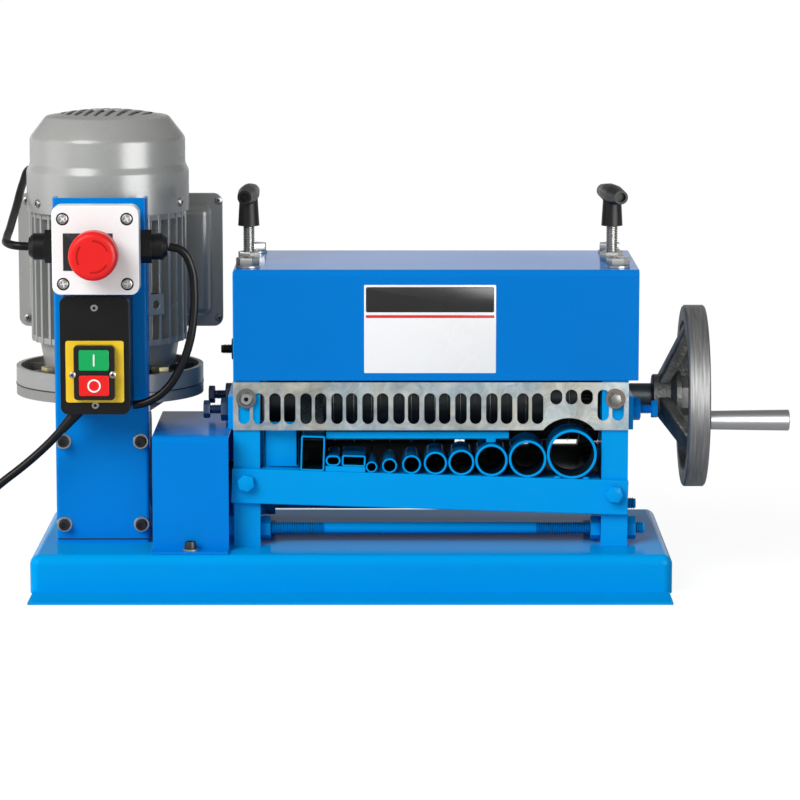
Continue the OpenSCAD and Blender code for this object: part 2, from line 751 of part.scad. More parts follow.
// Tie rods low down at the front and at the back, with nuts inside and outside both plates
module tie_rods() color("dodgerblue") in_frame() for (y = tie_y) translate([0, y, tie_z])
    rod_x(tie_d, frame_left - tie_out, frame_right + tie_out);
module nut_x(d, af, x0, x1) difference() {
    hex_x(af, x0, x1);
    rod_x(d + 2 * run_clear, x0 - 1, x1 + 1);
}
module hex_nuts() color("dodgerblue") in_frame() {
    for (y = tie_y) translate([0, y, tie_z]) {
        nut_x(tie_d, nut10_af, frame_left - nut10_h - seat, frame_left - seat);
        nut_x(tie_d, nut10_af, left_in + seat, left_in + nut10_h + seat);
        nut_x(tie_d, nut10_af, right_in - nut10_h - seat, right_in - seat);
        nut_x(tie_d, nut10_af, frame_right + seat, frame_right + nut10_h + seat);
    }
    for (x = [left_mid, right_mid]) translate([x, 0, 0]) difference() {
        hex_z(nut10_af, cover_top + seat, cover_top + seat + nut10_h);
        rod_z(screw_d + hole_clear, cover_top - 1, cover_top + nut10_h + 1);
    }
    for (s = [-1, 1]) translate([0, s * keeper_bolt_y, keeper_bolt_z]) {
        nut_x(8, nut10_af, frame_left - keeper_nut[1], frame_left - keeper_nut[0]);
        nut_x(8, nut10_af, frame_right + keeper_nut[0], frame_right + keeper_nut[1]);
    }
}

// Bolts of the cover, the rail, the guard's right end, the motor flange and the keeper bars
module bolt_z(d, af, head_h, washer_d, washer_t, z_face, z_end) {
    hex_z(af, z_face + washer_t + seat, z_face + washer_t + seat + head_h);
    rod_z(d, z_end, z_face + washer_t + seat + 1);
    difference() {
        rod_z(washer_d, z_face + seat / 2, z_face + washer_t);
        rod_z(d + hole_clear, z_face - 1, z_face + washer_t + 1);
    }
}
module hex_bolts() color("dodgerblue") in_frame() {
    for (x = [left_mid, right_mid], y = cover_bolt_y) translate([x, y, 0])
        bolt_z(8, 13, 5.5, 20, 2, cover_top, frame_top - 22);
    on_rail() for (x = [left_mid, right_mid]) translate([along(x), 0, -rail_bolt_down])
        bolt_y(8, 13, 5.5, 16, 1.6, frame_front - rail_t, frame_front + 22);
    translate([right_mid, 0, guard_bolt_z])
        bolt_y(8, 13, 5.5, 16, 1.6, frame_front - cover_t, frame_front + 22);
    for (a = [45:90:315]) translate([drive_x, worm_offset, 0])
        rotate([0, 0, a]) translate([bolt_circle / 2, 0, 0])
            bolt_z(9, 14, 6, 17, 1.6, motor_z + dish_floor, motor_z - gear_flange_t - 8);
    for (s = [-1, 1]) translate([0, s * keeper_bolt_y, keeper_bolt_z]) {
        rod_x(8, frame_left - keeper_head[0] - 1, left_in - 2);
        hex_x(13, frame_left - keeper_head[1], frame_left - keeper_head[0]);
        rod_x(8, right_in + 2, frame_right + keeper_head[0] + 1);
        hex_x(13, frame_right + keeper_head[0], frame_right + keeper_head[1]);
    }
}
module socket_screws() color("dimgray") in_frame() {
    translate([left_mid, 0, guard_bolt_z])
        socket_y(8, 13, 5, 16, 1.6, frame_front - cover_t, frame_front + 22);
    for (x = [-1, 1], z = [-1, 1])
        translate([drive_x + x * column_bolt_x / 2, 0, lower_z + z * column_bolt_z / 2])
            socket_y(6, 10, 6, 13, 1.6, column_front, column_front + column_t + 14);
    translate([guard_box_mid, guard_box_front - foot_d / 2, base_h])
        rotate([-90, 0, 0]) socket_y(6, 10, 6, 14, 1.4, -guard_box_t, base_t);
}

// Keeper bars that hold the bearing blocks in their windows
module keeper_bar(x0, x1) difference() {
    span([x0, -keeper_len / 2, keeper_low], [x1, keeper_len / 2, keeper_low + keeper_h]);
    for (s = [-1, 1]) translate([0, s * keeper_bolt_y, keeper_bolt_z]) rod_x(8 + hole_clear, x0 - 1, x1 + 1);
}
module keeper_bars() color("dodgerblue") in_frame() {
    keeper_bar(frame_left - seat - keeper_t, frame_left - seat);
    difference() {
        keeper_bar(frame_right + seat, frame_right + seat + keeper_t);
        for (z = [upper_z, upper_z + lift]) translate([0, 0, z])
            rod_x(shaft_d + 4, frame_right - 1, frame_right + 20);
        span(
            [frame_right - 1, -shaft_d / 2 - 2, upper_z],
            [frame_right + 20, shaft_d / 2 + 2, upper_z + keeper_h]
        );
    }
}
// Lock nuts and bolt heads on the keeper bars, as distances out of the plate: the heads stand clear
keeper_nut = [keeper_t + 3 * seat, keeper_t + 6.5];
keeper_head = [keeper_t + 15.5, keeper_t + 21];

// Stud with a thick washer on the left plate, short enough to stay out of the screw's bore
stud_z = window_top + 12;
stud_in = side_t / 2 - screw_d / 2 - 1.5;
stud_washer_t = 4;
module side_stud() color("black") in_frame() translate([0, 0, stud_z]) {
    rod_x(8, frame_left - 13, frame_left + stud_in);
    difference() {
        rod_x(18, frame_left - stud_washer_t - seat, frame_left - seat);
        rod_x(8 + hole_clear, frame_left - 20, frame_left + 1);
    }
}

// Folded cover over the shaft coupling, with a foot in front
module coupling_cover() color("dodgerblue") in_frame() {
    channel_x(
        guard_box_left, guard_box_right, guard_box_front, guard_box_front + guard_box_d,
        base_h, base_h + guard_box_h, guard_box_t, cover_bend
    );
    difference() {
        span(
            [guard_box_left, guard_box_front - foot_d, base_h],
            [guard_box_right, guard_box_front + 1, base_h + guard_box_t]
        );
        translate([guard_box_mid, guard_box_front - foot_d / 2, 0])
            rod_z(6 + hole_clear, base_h - 1, base_h + 10);
    }
}

// Channel that stands in front of the gearbox and carries the controls
module control_column() color("dodgerblue") in_frame() difference() {
    translate([drive_x, column_front, base_h]) linear_extrude(column_h) difference() {
        union() {
            translate([-column_w / 2, 3]) square([column_w, column_return - 3]);
            translate([-column_w / 2 + 3, 0]) square([column_w - 6, column_return]);
            for (s = [-1, 1]) translate([s * (column_w / 2 - 3), 3]) circle(3);
        }
        translate([-column_w / 2 + column_t, column_t]) square([column_w - 2 * column_t, column_return]);
    }
    for (x = [-1, 1], z = [-1, 1])
        translate([drive_x + x * column_bolt_x / 2, 0, lower_z + z * column_bolt_z / 2])
            rod_y(6 + hole_clear, column_front - 1, column_front + column_t + 1);
}

// Worm gearbox: a square wheel housing, an upright worm barrel and the input flange
module gearbox_housing() color("lightsteelblue") in_frame() difference() {
    back = column_front + column_t + seat;
    union() {
        translate([box_left, 0, lower_z]) rotate([90, 0, 90]) linear_extrude(box_right - box_left)
            translate([(back + gearbox_back) / 2, (gearbox_top + base_h) / 2 - lower_z])
                round_rect(gearbox_back - back, gearbox_top - base_h, gearbox_r);
        translate([drive_x, worm_offset, 0]) {
            rod_z(barrel_d, base_h + 8, gear_flange_z + 1);
            translate([0, 0, gearbox_top - 2])
                cylinder(d1 = barrel_d + 2, d2 = neck_d[1], h = gear_flange_z - gearbox_top + 2);
            rod_z(flange_d, gear_flange_z, motor_z);
        }
        translate([0, 0, lower_z]) rod_x(bearing_d, box_left, column_right + 1);
    }
    translate([0, 0, lower_z]) rod_x(output_d + 2 * run_clear, box_left + 8, column_right + 2);
    translate([drive_x, worm_offset, 0]) {
        rod_z(motor_shaft_d + 2 * run_clear, gearbox_top - 10, motor_z + 1);
        for (a = [45:90:315]) rotate([0, 0, a]) translate([bolt_circle / 2, 0, 0])
            rod_z(9 + hole_clear, gear_flange_z - 20, motor_z + 1);
    }
    for (x = [-1, 1], z = [-1, 1])
        translate([drive_x + x * column_bolt_x / 2, 0, lower_z + z * column_bolt_z / 2])
            rod_y(6 + hole_clear, column_front, column_front + column_t + 16);
}

// Finned motor body with two pads for feet
fin_core = motor_d / 2 - fin_depth;
function fin_points() = [
    for (k = [0:fin_count - 1]) let (
        a = 360 * (k + 0.5) / fin_count,
        w0 = asin(fin_t / 2 / fin_core),
        w1 = asin(fin_t / 2 / (motor_d / 2))
    ) each [
        fin_core * [cos(a - w0), sin(a - w0)], motor_d / 2 * [cos(a - w1), sin(a - w1)],
        motor_d / 2 * [cos(a + w1), sin(a + w1)], fin_core * [cos(a + w0), sin(a + w0)],
    ]
];
module motor_body() color("darkgray") in_frame() translate([drive_x, worm_offset, 0]) difference() {
    union() {
        translate([0, 0, body_low + seat]) linear_extrude(motor_body_h - seat) polygon(fin_points());
        rod_z(motor_d - 2, body_low + seat, body_low + 5);
        rod_z(motor_d - 2, body_high - 5, body_high);
        rod_z(cowl_d - 2 * cowl_t - 2 * slide_clear, body_high - seat, body_high + cowl_lap);
        for (a = pad_angle) rotate([0, 0, a])
            span([fin_core - 1, -pad_w / 2, pad_z[0]], [motor_d / 2, pad_w / 2, pad_z[1]]);
    }
    rod_z(motor_shaft_d + 2 * run_clear, body_low - 1, body_high + cowl_lap + 1);
    for (a = pad_angle) rotate([0, 0, a]) translate([0, 0, (pad_z[0] + pad_z[1]) / 2])
        rod_x(7, fin_core, motor_d / 2 + 1);
}

// Motor flange: a dished disc with ribs, and the neck that carries the body
module motor_flange() color("darkgray") in_frame() translate([drive_x, worm_offset, 0]) difference() {
    floor_z = motor_z + dish_floor;
    rim_z = motor_z + motor_flange_t;
    union() {
        difference() {
            rod_z(flange_d, motor_z + seat, rim_z);
            rod_z(flange_d - 2 * dish_wall, floor_z, rim_z + 1);
        }
        translate([0, 0, floor_z - 1]) cylinder(d1 = neck_d[0], d2 = neck_d[1], h = body_low - floor_z + 1);
        for (a = [22.5:45:337.5]) rotate([0, 0, a])
            span([neck_d[0] / 2 - 3, -2.5, floor_z - 1], [flange_d / 2 - dish_wall + 1, 2.5, rim_z - 3]);
    }
    rod_z(motor_shaft_d + 2 * run_clear, motor_z - 1, body_low + 1);
    for (a = [45:90:315]) rotate([0, 0, a]) translate([bolt_circle / 2, 0, 0])
        rod_z(9 + hole_clear, motor_z - 1, floor_z + 1);
}

// Fan cowl: a pressed skirt, a step, a sloping shoulder and a slotted top
cowl_t = 1.5;
cowl_lap = 8;
cowl_skirt = 35;
cowl_upper = 62;
cowl_step = 3;
cowl_top_d = 104;
slit_count = 24;
module cowl_outline(grow) polygon([
    [0, body_high + seat], [cowl_d / 2 + grow, body_high + seat], [cowl_d / 2 + grow, body_high + cowl_skirt],
    [cowl_d / 2 - cowl_step + grow, body_high + cowl_skirt + 4],
    [cowl_d / 2 - cowl_step + grow, body_high + cowl_upper],
    [cowl_top_d / 2 + grow, cowl_top + grow], [0, cowl_top + grow],
]);
module fan_cowl() color("darkgray") in_frame() translate([drive_x, worm_offset, 0]) difference() {
    rotate_extrude() difference() {
        cowl_outline(0);
        cowl_outline(-cowl_t);
        translate([-1, body_high]) square([cowl_d / 2 - cowl_t + 1, 2]);
    }
    for (k = [0:slit_count - 1]) rotate([0, 0, 360 * (k + 0.5) / slit_count])
        span([20, -1.8, cowl_top - 6], [cowl_top_d / 2 - 5, 1.8, cowl_top + 1]);
}

// Capacitor box: a saddle behind the fins, a wide flange and a deep lid
module capacitor_box() color("dimgray") in_frame() translate([cap_x, 0, cap_low + cap_h / 2]) {
    translate([0, cap_front + cap_base_d + 1, 0]) rotate([90, 0, 0])
        soft_block(cap_w - 2 * cap_inset, cap_h - 2 * cap_inset, cap_base_d + 1, cap_r);
    panel(cap_w, cap_h, cap_r, cap_front + cap_base_d, cap_front + cap_base_d + cap_flange_t);
    translate([drive_x - cap_x, 0, 0])
        panel(40, motor_body_h - 20, 4, cap_front - 0.28, cap_front + 1);
}
module capacitor_lid() color("dimgray") in_frame()
    translate([cap_x, cap_front + cap_base_d + cap_flange_t + seat, cap_low + cap_h / 2])
        rotate([-90, 0, 0]) soft_block(cap_w - 4, cap_h - 4, cap_lid_d - seat, cap_r);

// Emergency stop box and lid
module estop_box() color("whitesmoke") in_frame()
    translate([estop_x, 0, estop_low + estop_h / 2]) difference() {
    panel(estop_w - 1, estop_h - 1, estop_r, estop_front + estop_lid_d + seat, column_front - seat);
    panel(
        estop_w - 1 - 2 * estop_wall, estop_h - 1 - 2 * estop_wall, estop_r - estop_wall,
        estop_front + estop_lid_d - 1, column_front - estop_wall
    );
    translate([0, gland_y, gland_z - estop_low - estop_h / 2])
        rod_x(gland_d * 0.6 + hole_clear, -estop_w, estop_w);
}
module estop_lid() color("whitesmoke") in_frame()
    translate([estop_x, 0, estop_low + estop_h / 2]) difference() {
    panel(estop_w, estop_h, estop_r, estop_front, estop_front + estop_lid_d);
    panel(
        estop_w - 2 * estop_wall, estop_h - 2 * estop_wall, estop_r - estop_wall,
        estop_front + estop_wall, estop_front + estop_lid_d + 1
    );
    translate([0, 0, estop_z - estop_low - estop_h / 2])
        rod_y(stem_d + 6 + 2 * hole_clear, estop_front - 1, estop_front + estop_wall + 1);
}
module estop_collar() color("black") in_frame() translate([estop_x, 0, estop_z]) difference() {
    union() {
        rod_y(collar_d, estop_front - collar_h, estop_front - seat);
        rod_y(stem_d + 6, estop_front - 1, estop_front + estop_lid_d + 6);
    }
    rod_y(stem_d + 2 * run_clear, estop_front - collar_h - 1, estop_front + estop_lid_d + 7);
}
// Sliding stem, and the head that twists on its spigot to let the stem go
module estop_stem() color("black") in_frame() translate([estop_x, 0, estop_z]) {
    rod_y(stem_d, head_back + seat, estop_front + estop_lid_d - 1);
    rod_y(spigot_d, head_back - spigot_h, head_back + 1);
}
module mushroom_head() color("red") in_frame() translate([estop_x, 0, estop_z]) difference() {
    translate([0, head_back, 0]) rotate([90, 0, 0]) rotate_extrude() union() {
        square([mushroom_d / 2 - 5, head_h]);
        square([mushroom_d / 2, head_h - 5]);
        translate([mushroom_d / 2 - 5, head_h - 5]) circle(5);
    }
    rod_y(spigot_d + 2 * run_clear, head_back - spigot_h - slide_clear, head_back + 1);
}

// Cable glands on both sides of the box, and the leaning strain relief under the switch
module cable_gland() difference() {
    start = (estop_w - 1) / 2;
    union() {
        hex_x(gland_d, start + seat, start + 9);
        rod_x(gland_d - 2, start + 8, start + gland_len - 4);
        translate([start + gland_len - 4, 0, 0]) rotate([0, 90, 0])
            cylinder(d1 = gland_d - 2, d2 = gland_d - 9, h = 4);
        rod_x(gland_d * 0.6, start - estop_wall - 4, start + 1);
    }
    rod_x(cord_d + 2 * run_clear, start - 10, start + gland_len + 1);
}
module strain_relief() translate([relief_x, relief_y, switch_low]) {
    buried = 8;
    difference() {
        rotate([0, 180 + relief_lean, 0]) translate([0, 0, -buried])
            cylinder(d1 = cord_d + 4, d2 = cord_d + 1, h = relief_len + buried);
        span([-buried, -buried, -seat], [2 * buried, buried, 2 * buried]);
    }
    rod_z(relief_plug_d, -1, 11);
}
module cable_glands() color("black") in_frame() {
    for (a = [0, 180]) translate([estop_x, gland_y, gland_z]) rotate([0, 0, a]) cable_gland();
    strain_relief();
}

// Push-button switch
module switch_box() color("black") in_frame() difference() {
    translate([switch_x, 0, switch_low + switch_h / 2])
        panel(switch_w, switch_h, 6, switch_front, column_front - seat);
    translate([switch_x, 0, plate_z]) panel(
        button_w + 2, 2 * button_h + button_gap + 2, 1,
        switch_front - 1, button_front + button_d + button_stroke + 1
    );
    translate([relief_x, relief_y, 0]) rod_z(relief_plug_d + hole_clear, switch_low - 1, switch_low + 12);
}
module switch_plate() color("gold") in_frame() translate([switch_x, 0, plate_z]) difference() {
    panel(plate_w, plate_h, 2, switch_front - plate_t, switch_front - seat);
    panel(button_w + 2, 2 * button_h + button_gap + 2, 1, switch_front - plate_t - 1, switch_front + 1);
}
module switch_bezel() color("dimgray") in_frame() translate([switch_x, 0, plate_z]) difference() {
    panel(bezel_w, bezel_h, 3, bezel_front, switch_front - plate_t - seat);
    for (s = [-1, 1]) translate([0, 0, s * (button_h + button_gap) / 2])
        panel(button_w + 2 * slide_clear, button_h + 2 * slide_clear, 1.5, bezel_front - 1, switch_front);
}
module push_button(z) translate([switch_x, 0, z])
    panel(button_w, button_h, 1.5, button_front, button_front + button_d);
module start_button() color("limegreen") in_frame() push_button(start_z);
module stop_button() color("red") in_frame() push_button(stop_z);

// Cables and mains lead
module control_cables() color("dimgray") in_frame() {
    cord(smooth(estop_cable_route, 2), cord_d, 10, [0, 1, 0]);
    cord(smooth(motor_cable_route, 2), cord_d, 10, [3, 2, -1]);
}
module mains_cord() color("black") in_frame() {
    cord(smooth(concat([relief_end], mains_route, [coil_first]), 2), cord_d, 10, [0, 1, 0]);
    cord(smooth(plug_route, 3), cord_d, 10, [1, 0, 0]);
}
module mains_coil() color("black") in_frame() cord(coil_route, cord_d, 6, [0, 0, 1]);
// Plain plug: a moulded body with a tapered neck, two flat pins and a longer round one
pin_x = 6.35;
pin_size = [1.5, 19, 6.4];
earth_d = 4.8;
module mains_plug() color("black") in_frame() translate(plug_mid) {
    face = plug_size[1] - plug_tail + plug_neck - 1;
    translate([0, -plug_tail, 0]) rotate([-90, 0, 0]) cylinder(d1 = 10, d2 = 16, h = plug_neck);
    panel(plug_size[0], plug_size[2], 8, face - plug_size[1], face);
    for (s = [-1, 1]) translate([s * pin_x, face + pin_size[1] / 2 - 1, 5]) cube(pin_size, center = true);
    translate([0, 0, -pin_x]) rod_y(earth_d, face - 1, face + pin_size[1] + 3);
}

// Bushes pressed into the plates for the lower shaft
module bush(x0, x1) difference() {
    rod_x(bush_d, x0, x1);
    rod_x(shaft_d + 2 * run_clear, x0 - 1, x1 + 1);
}
module lower_bushes() color("peru") in_frame() translate([0, 0, lower_z]) {
    bush(frame_left, left_in + 2);
    bush(right_in - 2, frame_right);
}

// Sliding bearing blocks of the upper shaft: a body in the window and a flange inside the frame
module bearing_block(face, into) {
    body_out = face + into * slide_clear;
    flange_in = face + into * (side_t + slide_clear);
    flange_end = flange_in + into * flange_t;
    difference() {
        union() {
            span(
                [min(body_out, flange_end), -block_w / 2, block_low],
                [max(body_out, flange_end), block_w / 2, block_low + block_h]
            );
            span(
                [min(flange_in, flange_end), -block_w / 2 - flange_lap, block_low],
                [max(flange_in, flange_end), block_w / 2 + flange_lap, block_low + block_h]
            );
        }
        translate([0, 0, upper_z])
            rod_x(bush_d + 2 * seat, min(body_out, flange_end) - 1, max(body_out, flange_end) + 1);
        translate([face + into * side_t / 2, 0, 0])
            rod_z(screw_tip_d + 2 * run_clear, block_low + block_h - tip_h, block_low + block_h + 1);
    }
}
module bearing_blocks() color("slategray") in_frame() {
    bearing_block(frame_left, 1);
    bearing_block(frame_right, -1);
}
module upper_bushes() color("peru") in_frame() translate([0, 0, upper_z]) {
    bush(frame_left + slide_clear, left_in + slide_clear + flange_t);
    bush(right_in - slide_clear - flange_t, frame_right - slide_clear);
}

// Adjusting screws with black T handles
screw_tip_d = 7;
tip_h = 6;
tip_play = 0.1;
tee_bar_d = 16.5;
tee_end_d = 11.7;
tee_barrel_d = 18;
tee_low = cover_top + nut10_h + screw_bare;
left_tee_turn = 8;
right_tee_turn = -14;
module adjusting_screw(x) translate([x, 0, 0]) {
    rod_z(screw_d, block_low + block_h + tip_play, tee_low + 16);
    rod_z(screw_tip_d, block_low + block_h - tip_h + tip_play, block_low + block_h + 1);
}
module tee_handle(x, turn) translate([x, 0, tee_low]) rotate([0, 0, turn]) {
    bar_z = tee_h - tee_bar_d / 2;
    difference() {
        union() {
            cylinder(d1 = tee_barrel_d, d2 = tee_barrel_d - 3, h = tee_h - tee_bar_d / 2);
            translate([0, 0, bar_z]) {
                rod_y(tee_bar_d, -9, 9);
                for (s = [0, 180]) rotate([0, 0, s]) translate([0, -9, 0]) rotate([90, 0, 0])
                    cylinder(d1 = tee_bar_d, d2 = tee_end_d, h = tee_len / 2 - 9);
            }
        }
        rod_z(screw_d + 2 * seat, -1, 16 + seat);
        for (s = [-1, 1]) translate([0, s * tee_len / 2, bar_z]) rod_y(tee_end_d - 4, -5, 5);
    }
}
module left_screw() color("goldenrod") in_frame() adjusting_screw(left_mid);
module right_screw() color("goldenrod") in_frame() adjusting_screw(right_mid);
module left_tee() color("black") in_frame() tee_handle(left_mid, left_tee_turn);
module right_tee() color("black") in_frame() tee_handle(right_mid, right_tee_turn);

// Upper shaft with its feed wheels and disc blades
shaft_end = hub_right + nut20_h + 2;
module upper_shaft() color("gray") in_frame() translate([0, 0, upper_z]) {
    rod_x(shaft_d, frame_left + 2, shaft_end);
    rod_x(shaft_d + 1, frame_right + slide_clear + keeper_t, hub_left - seat);
}
module ring_x(d_out, d_in, x0, x1) difference() {
    rod_x(d_out, x0, x1);
    rod_x(d_in, x0 - 1, x1 + 1);
}
module feed_wheels() color("dimgray") in_frame() translate([0, 0, upper_z]) {
    bore = shaft_d + 2 * seat;
    ring_x(wheel_d, bore, feed_edges[0], feed_edges[1] - seat);
    for (i = [1:len(feed_x) - 1]) {
        ring_x(wheel_d, bore, feed_edges[i], feed_x[i] - blade_t / 2 - seat);
        ring_x(wheel_d, bore, feed_x[i] + blade_t / 2 + seat, feed_edges[i + 1] - seat);
    }
}
module disc_blades() color("lightgray") in_frame() translate([0, 0, upper_z])
    for (i = [1:len(feed_x) - 1]) translate([feed_x[i], 0, 0]) rotate([0, 90, 0]) difference() {
        rotate_extrude() polygon([
            [0, -blade_t / 2], [wheel_d / 2 - 0.5, -blade_t / 2], [wheel_d / 2 + blade_out, -0.1],
            [wheel_d / 2 + blade_out, 0.1], [wheel_d / 2 - 0.5, blade_t / 2], [0, blade_t / 2],
        ]);
        cylinder(d = shaft_d + 2 * seat, h = 4 * blade_t, center = true);
    }
module upper_gear() color("gray") in_frame() translate([0, 0, upper_z]) difference() {
    gear_x(gear_n, gear_left, gear_right, 90);
    rod_x(shaft_d + 2 * seat, gear_left - 1, gear_right + 1);
}

// Dished three-spoke handwheel with its crank grip
module handwheel() color("gray") in_frame() translate([0, 0, upper_z]) difference() {
    rim_in = handwheel_d / 2 - rim_depth;
    union() {
        rod_x(hub_d, hub_left, hub_right);
        rotate([0, 90, 0]) rotate_extrude() translate([rim_in + rim_depth / 2, rim_left + rim_w / 2])
            round_rect(rim_depth, rim_w, 4);
        for (a = [0:120:240]) rotate([90 - spoke_angle - a, 0, 0]) rotate([90, 0, 0]) spoke(rim_in);
        translate([0, grip_y, grip_z - upper_z]) rod_x(boss_d, rim_left + 4, rim_right + 0.5);
    }
    rod_x(shaft_d + 2 * seat, hub_left - 1, hub_right + 1);
    translate([0, grip_y, grip_z - upper_z]) rod_x(stud_d + 2 * seat, rim_left + 8, rim_right + 2);
}
// One spoke, lying along +Z here before it is turned: it slopes out from hub to rim
module spoke(rim_in) linear_extrude(spoke_w, center = true) polygon([
    [hub_left + 3, hub_d / 2 - 4], [hub_left + 3 + spoke_t, hub_d / 2 - 4],
    [rim_left + 4 + spoke_t, rim_in + 3], [rim_left + 4, rim_in + 3],
]);
module handwheel_nut() color("dimgray") in_frame() translate([0, 0, upper_z])
    nut_x(shaft_d, nut20_af, hub_right + seat, hub_right + seat + nut20_h);
module crank_stud() color("silver") in_frame() translate([0, grip_y, grip_z]) {
    rod_x(stud_d, rim_left + 9, grip_right - 8);
    rod_x(14, rim_right + 0.5 + seat, grip_left - seat);
}
module crank_grip() color("gainsboro") in_frame() translate([0, grip_y, grip_z]) difference() {
    translate([grip_left, 0, 0]) rotate([0, 90, 0]) rotate_extrude() polygon([
        [0, 0], [grip_d / 2 - 1.5, 0], [grip_d / 2 - 0.7, 2], [grip_d / 2, grip_len - 3],
        [grip_d / 2 - 2, grip_len], [0, grip_len],
    ]);
    rod_x(stud_d + 2 * run_clear, grip_left - 1, grip_right - 7.5);
}

// Lower shaft, driven through the coupling, with the knurled roller and the small gear
module lower_shaft() color("gray") in_frame() translate([0, 0, lower_z])
    rod_x(shaft_d, shaft_split + 1, frame_right - 3);
module output_shaft() color("silver") in_frame() translate([0, 0, lower_z])
    rod_x(output_d, box_left + 9, shaft_split - 1);
module shaft_coupling() color("dimgray") in_frame() translate([0, 0, lower_z]) difference() {
    rod_x(coupling_d, coupling_left, coupling_right);
    rod_x(output_d + 2 * seat, coupling_left - 1, shaft_split);
    rod_x(shaft_d + 2 * seat, shaft_split - 0.5, coupling_right + 1);
}
module lower_roller() color("gray") in_frame() translate([0, 0, lower_z])
    ring_x(roller_d, shaft_d + 2 * seat, roller_left, roller_right);
module pinion_gear() color("gray") in_frame() translate([0, 0, lower_z]) difference() {
    gear_x(pinion_n, gear_left, gear_right, 90 + 180 / pinion_n);
    rod_x(shaft_d + 2 * seat, gear_left - 1, gear_right + 1);
}

// Motor shaft with the cooling fan on its upper end
fan_blades = 6;
fan_low = body_high + 12;
fan_h = 28;
fan_d = 112;
fan_hub_d = 34;
fan_t = 2.5;
module motor_rotor() color("gray") in_frame() translate([drive_x, worm_offset, 0]) {
    rod_z(motor_shaft_d, gearbox_top - 8, fan_low + fan_h);
    rod_z(fan_hub_d, fan_low, fan_low + fan_h - 4);
    rod_z(fan_d, fan_low, fan_low + 3);
    for (a = [0:360 / fan_blades:359]) rotate([0, 0, a])
        span([fan_hub_d / 2 - 5, -fan_t / 2, fan_low + 1], [fan_d / 2, fan_t / 2, fan_low + fan_h]);
}

base_tray();
left_side_plate();
right_side_plate();
top_cover();
front_guard();
guide_rail();
round_guide_tubes();
flat_guide_tubes();
tube_bar();
side_shield();
tie_rods();
hex_nuts();
hex_bolts();
socket_screws();
keeper_bars();
side_stud();
coupling_cover();
control_column();
gearbox_housing();
motor_flange();
motor_body();
fan_cowl();
capacitor_box();
capacitor_lid();
estop_box();
estop_lid();
estop_collar();
cable_glands();
switch_box();
switch_plate();
switch_bezel();
control_cables();
mains_cord();
mains_coil();
mains_plug();
lower_bushes();
bearing_blocks();
upper_bushes();
left_screw();
left_tee();
right_screw();
right_tee();
upper_shaft();
feed_wheels();
disc_blades();
upper_gear();
handwheel();
handwheel_nut();
crank_stud();
crank_grip();
lower_shaft();
output_shaft();
lower_roller();
pinion_gear();
shaft_coupling();
motor_rotor();
estop_stem();
mushroom_head();
start_button();
stop_button();
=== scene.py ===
"""Wire stripping machine: paint, metal, plastic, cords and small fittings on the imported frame."""
import math

import bmesh
import bpy
from mathutils import Matrix, Vector


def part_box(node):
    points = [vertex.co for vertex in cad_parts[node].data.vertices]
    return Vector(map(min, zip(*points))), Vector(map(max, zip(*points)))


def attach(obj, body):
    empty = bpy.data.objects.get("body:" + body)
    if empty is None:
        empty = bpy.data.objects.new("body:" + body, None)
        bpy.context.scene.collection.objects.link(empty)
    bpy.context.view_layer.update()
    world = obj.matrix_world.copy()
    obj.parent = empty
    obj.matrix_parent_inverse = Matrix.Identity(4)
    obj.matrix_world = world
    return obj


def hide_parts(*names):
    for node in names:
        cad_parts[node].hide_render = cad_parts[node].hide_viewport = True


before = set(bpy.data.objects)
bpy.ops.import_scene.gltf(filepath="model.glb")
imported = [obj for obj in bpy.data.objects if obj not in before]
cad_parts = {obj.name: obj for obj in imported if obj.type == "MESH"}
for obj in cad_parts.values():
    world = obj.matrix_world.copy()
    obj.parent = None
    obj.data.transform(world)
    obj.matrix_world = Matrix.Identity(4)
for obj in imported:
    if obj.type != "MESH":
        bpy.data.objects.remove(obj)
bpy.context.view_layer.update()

# Camera
# It stands three metres in front of the machine and a little above it, and looks down on it
# through a long lens, so that upright edges stay nearly parallel.
def add_object(name, data):
    """Puts an object that holds this data into the scene."""
    thing = bpy.data.objects.new(name, data)
    bpy.context.scene.collection.objects.link(thing)
    return thing


camera_place = (0.00278, -3.01975, 0.60074)
camera_down = math.radians(8.58)
camera_aside = math.radians(0.05)
lens = bpy.data.cameras.new("camera")
lens.lens = 161.88
lens.sensor_width = 36
lens.clip_end = 100
camera = add_object("camera", lens)
camera.location = camera_place
camera.rotation_euler = (math.pi / 2 - camera_down, 0, -camera_aside)
bpy.context.scene.camera = camera

# Mains lead and control cables
# Round rubber-sheathed leads, 7 mm thick. The mains lead leans out of its strain relief, comes down
# to the bench and lies there in a coil with its plug. Two short cables join the stop box to the
# switch and to the motor's capacitor box.
tray_low, tray_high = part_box("base_tray")
base_middle = Vector(((tray_low[0] + tray_high[0]) / 2, (tray_low[1] + tray_high[1]) / 2, 0))
cord_thickness = 0.007


def place(x, y, z):
    """A point in the row frame, given in millimetres from the middle of the base."""
    return base_middle + Vector((x, y, z)) / 1000


def set_inputs(tree, node, inputs):
    """Sets a node's inputs, and links those that are given a socket."""
    for key, value in inputs.items():
        if isinstance(value, bpy.types.NodeSocket):
            tree.links.new(value, node.inputs[key])
        else:
            node.inputs[key].default_value = value


def wire(tree, kind, inputs=None, **settings):
    """Adds a shader node with its settings and inputs."""
    node = tree.nodes.new("ShaderNode" + kind)
    for key, value in settings.items():
        setattr(node, key, value)
    set_inputs(tree, node, inputs or {})
    return node


def ramp(tree, value, low, high, first=0.0, last=1.0):
    """Where a value lies between low and high, spread from first to last."""
    return wire(tree, "MapRange", {
        "Value": value, "From Min": low, "From Max": high, "To Min": first, "To Max": last}).outputs["Result"]


def mix_tones(tree, factor, first, second):
    """A colour between two others."""
    return wire(tree, "Mix", {0: factor, 6: first, 7: second}, data_type="RGBA").outputs[2]


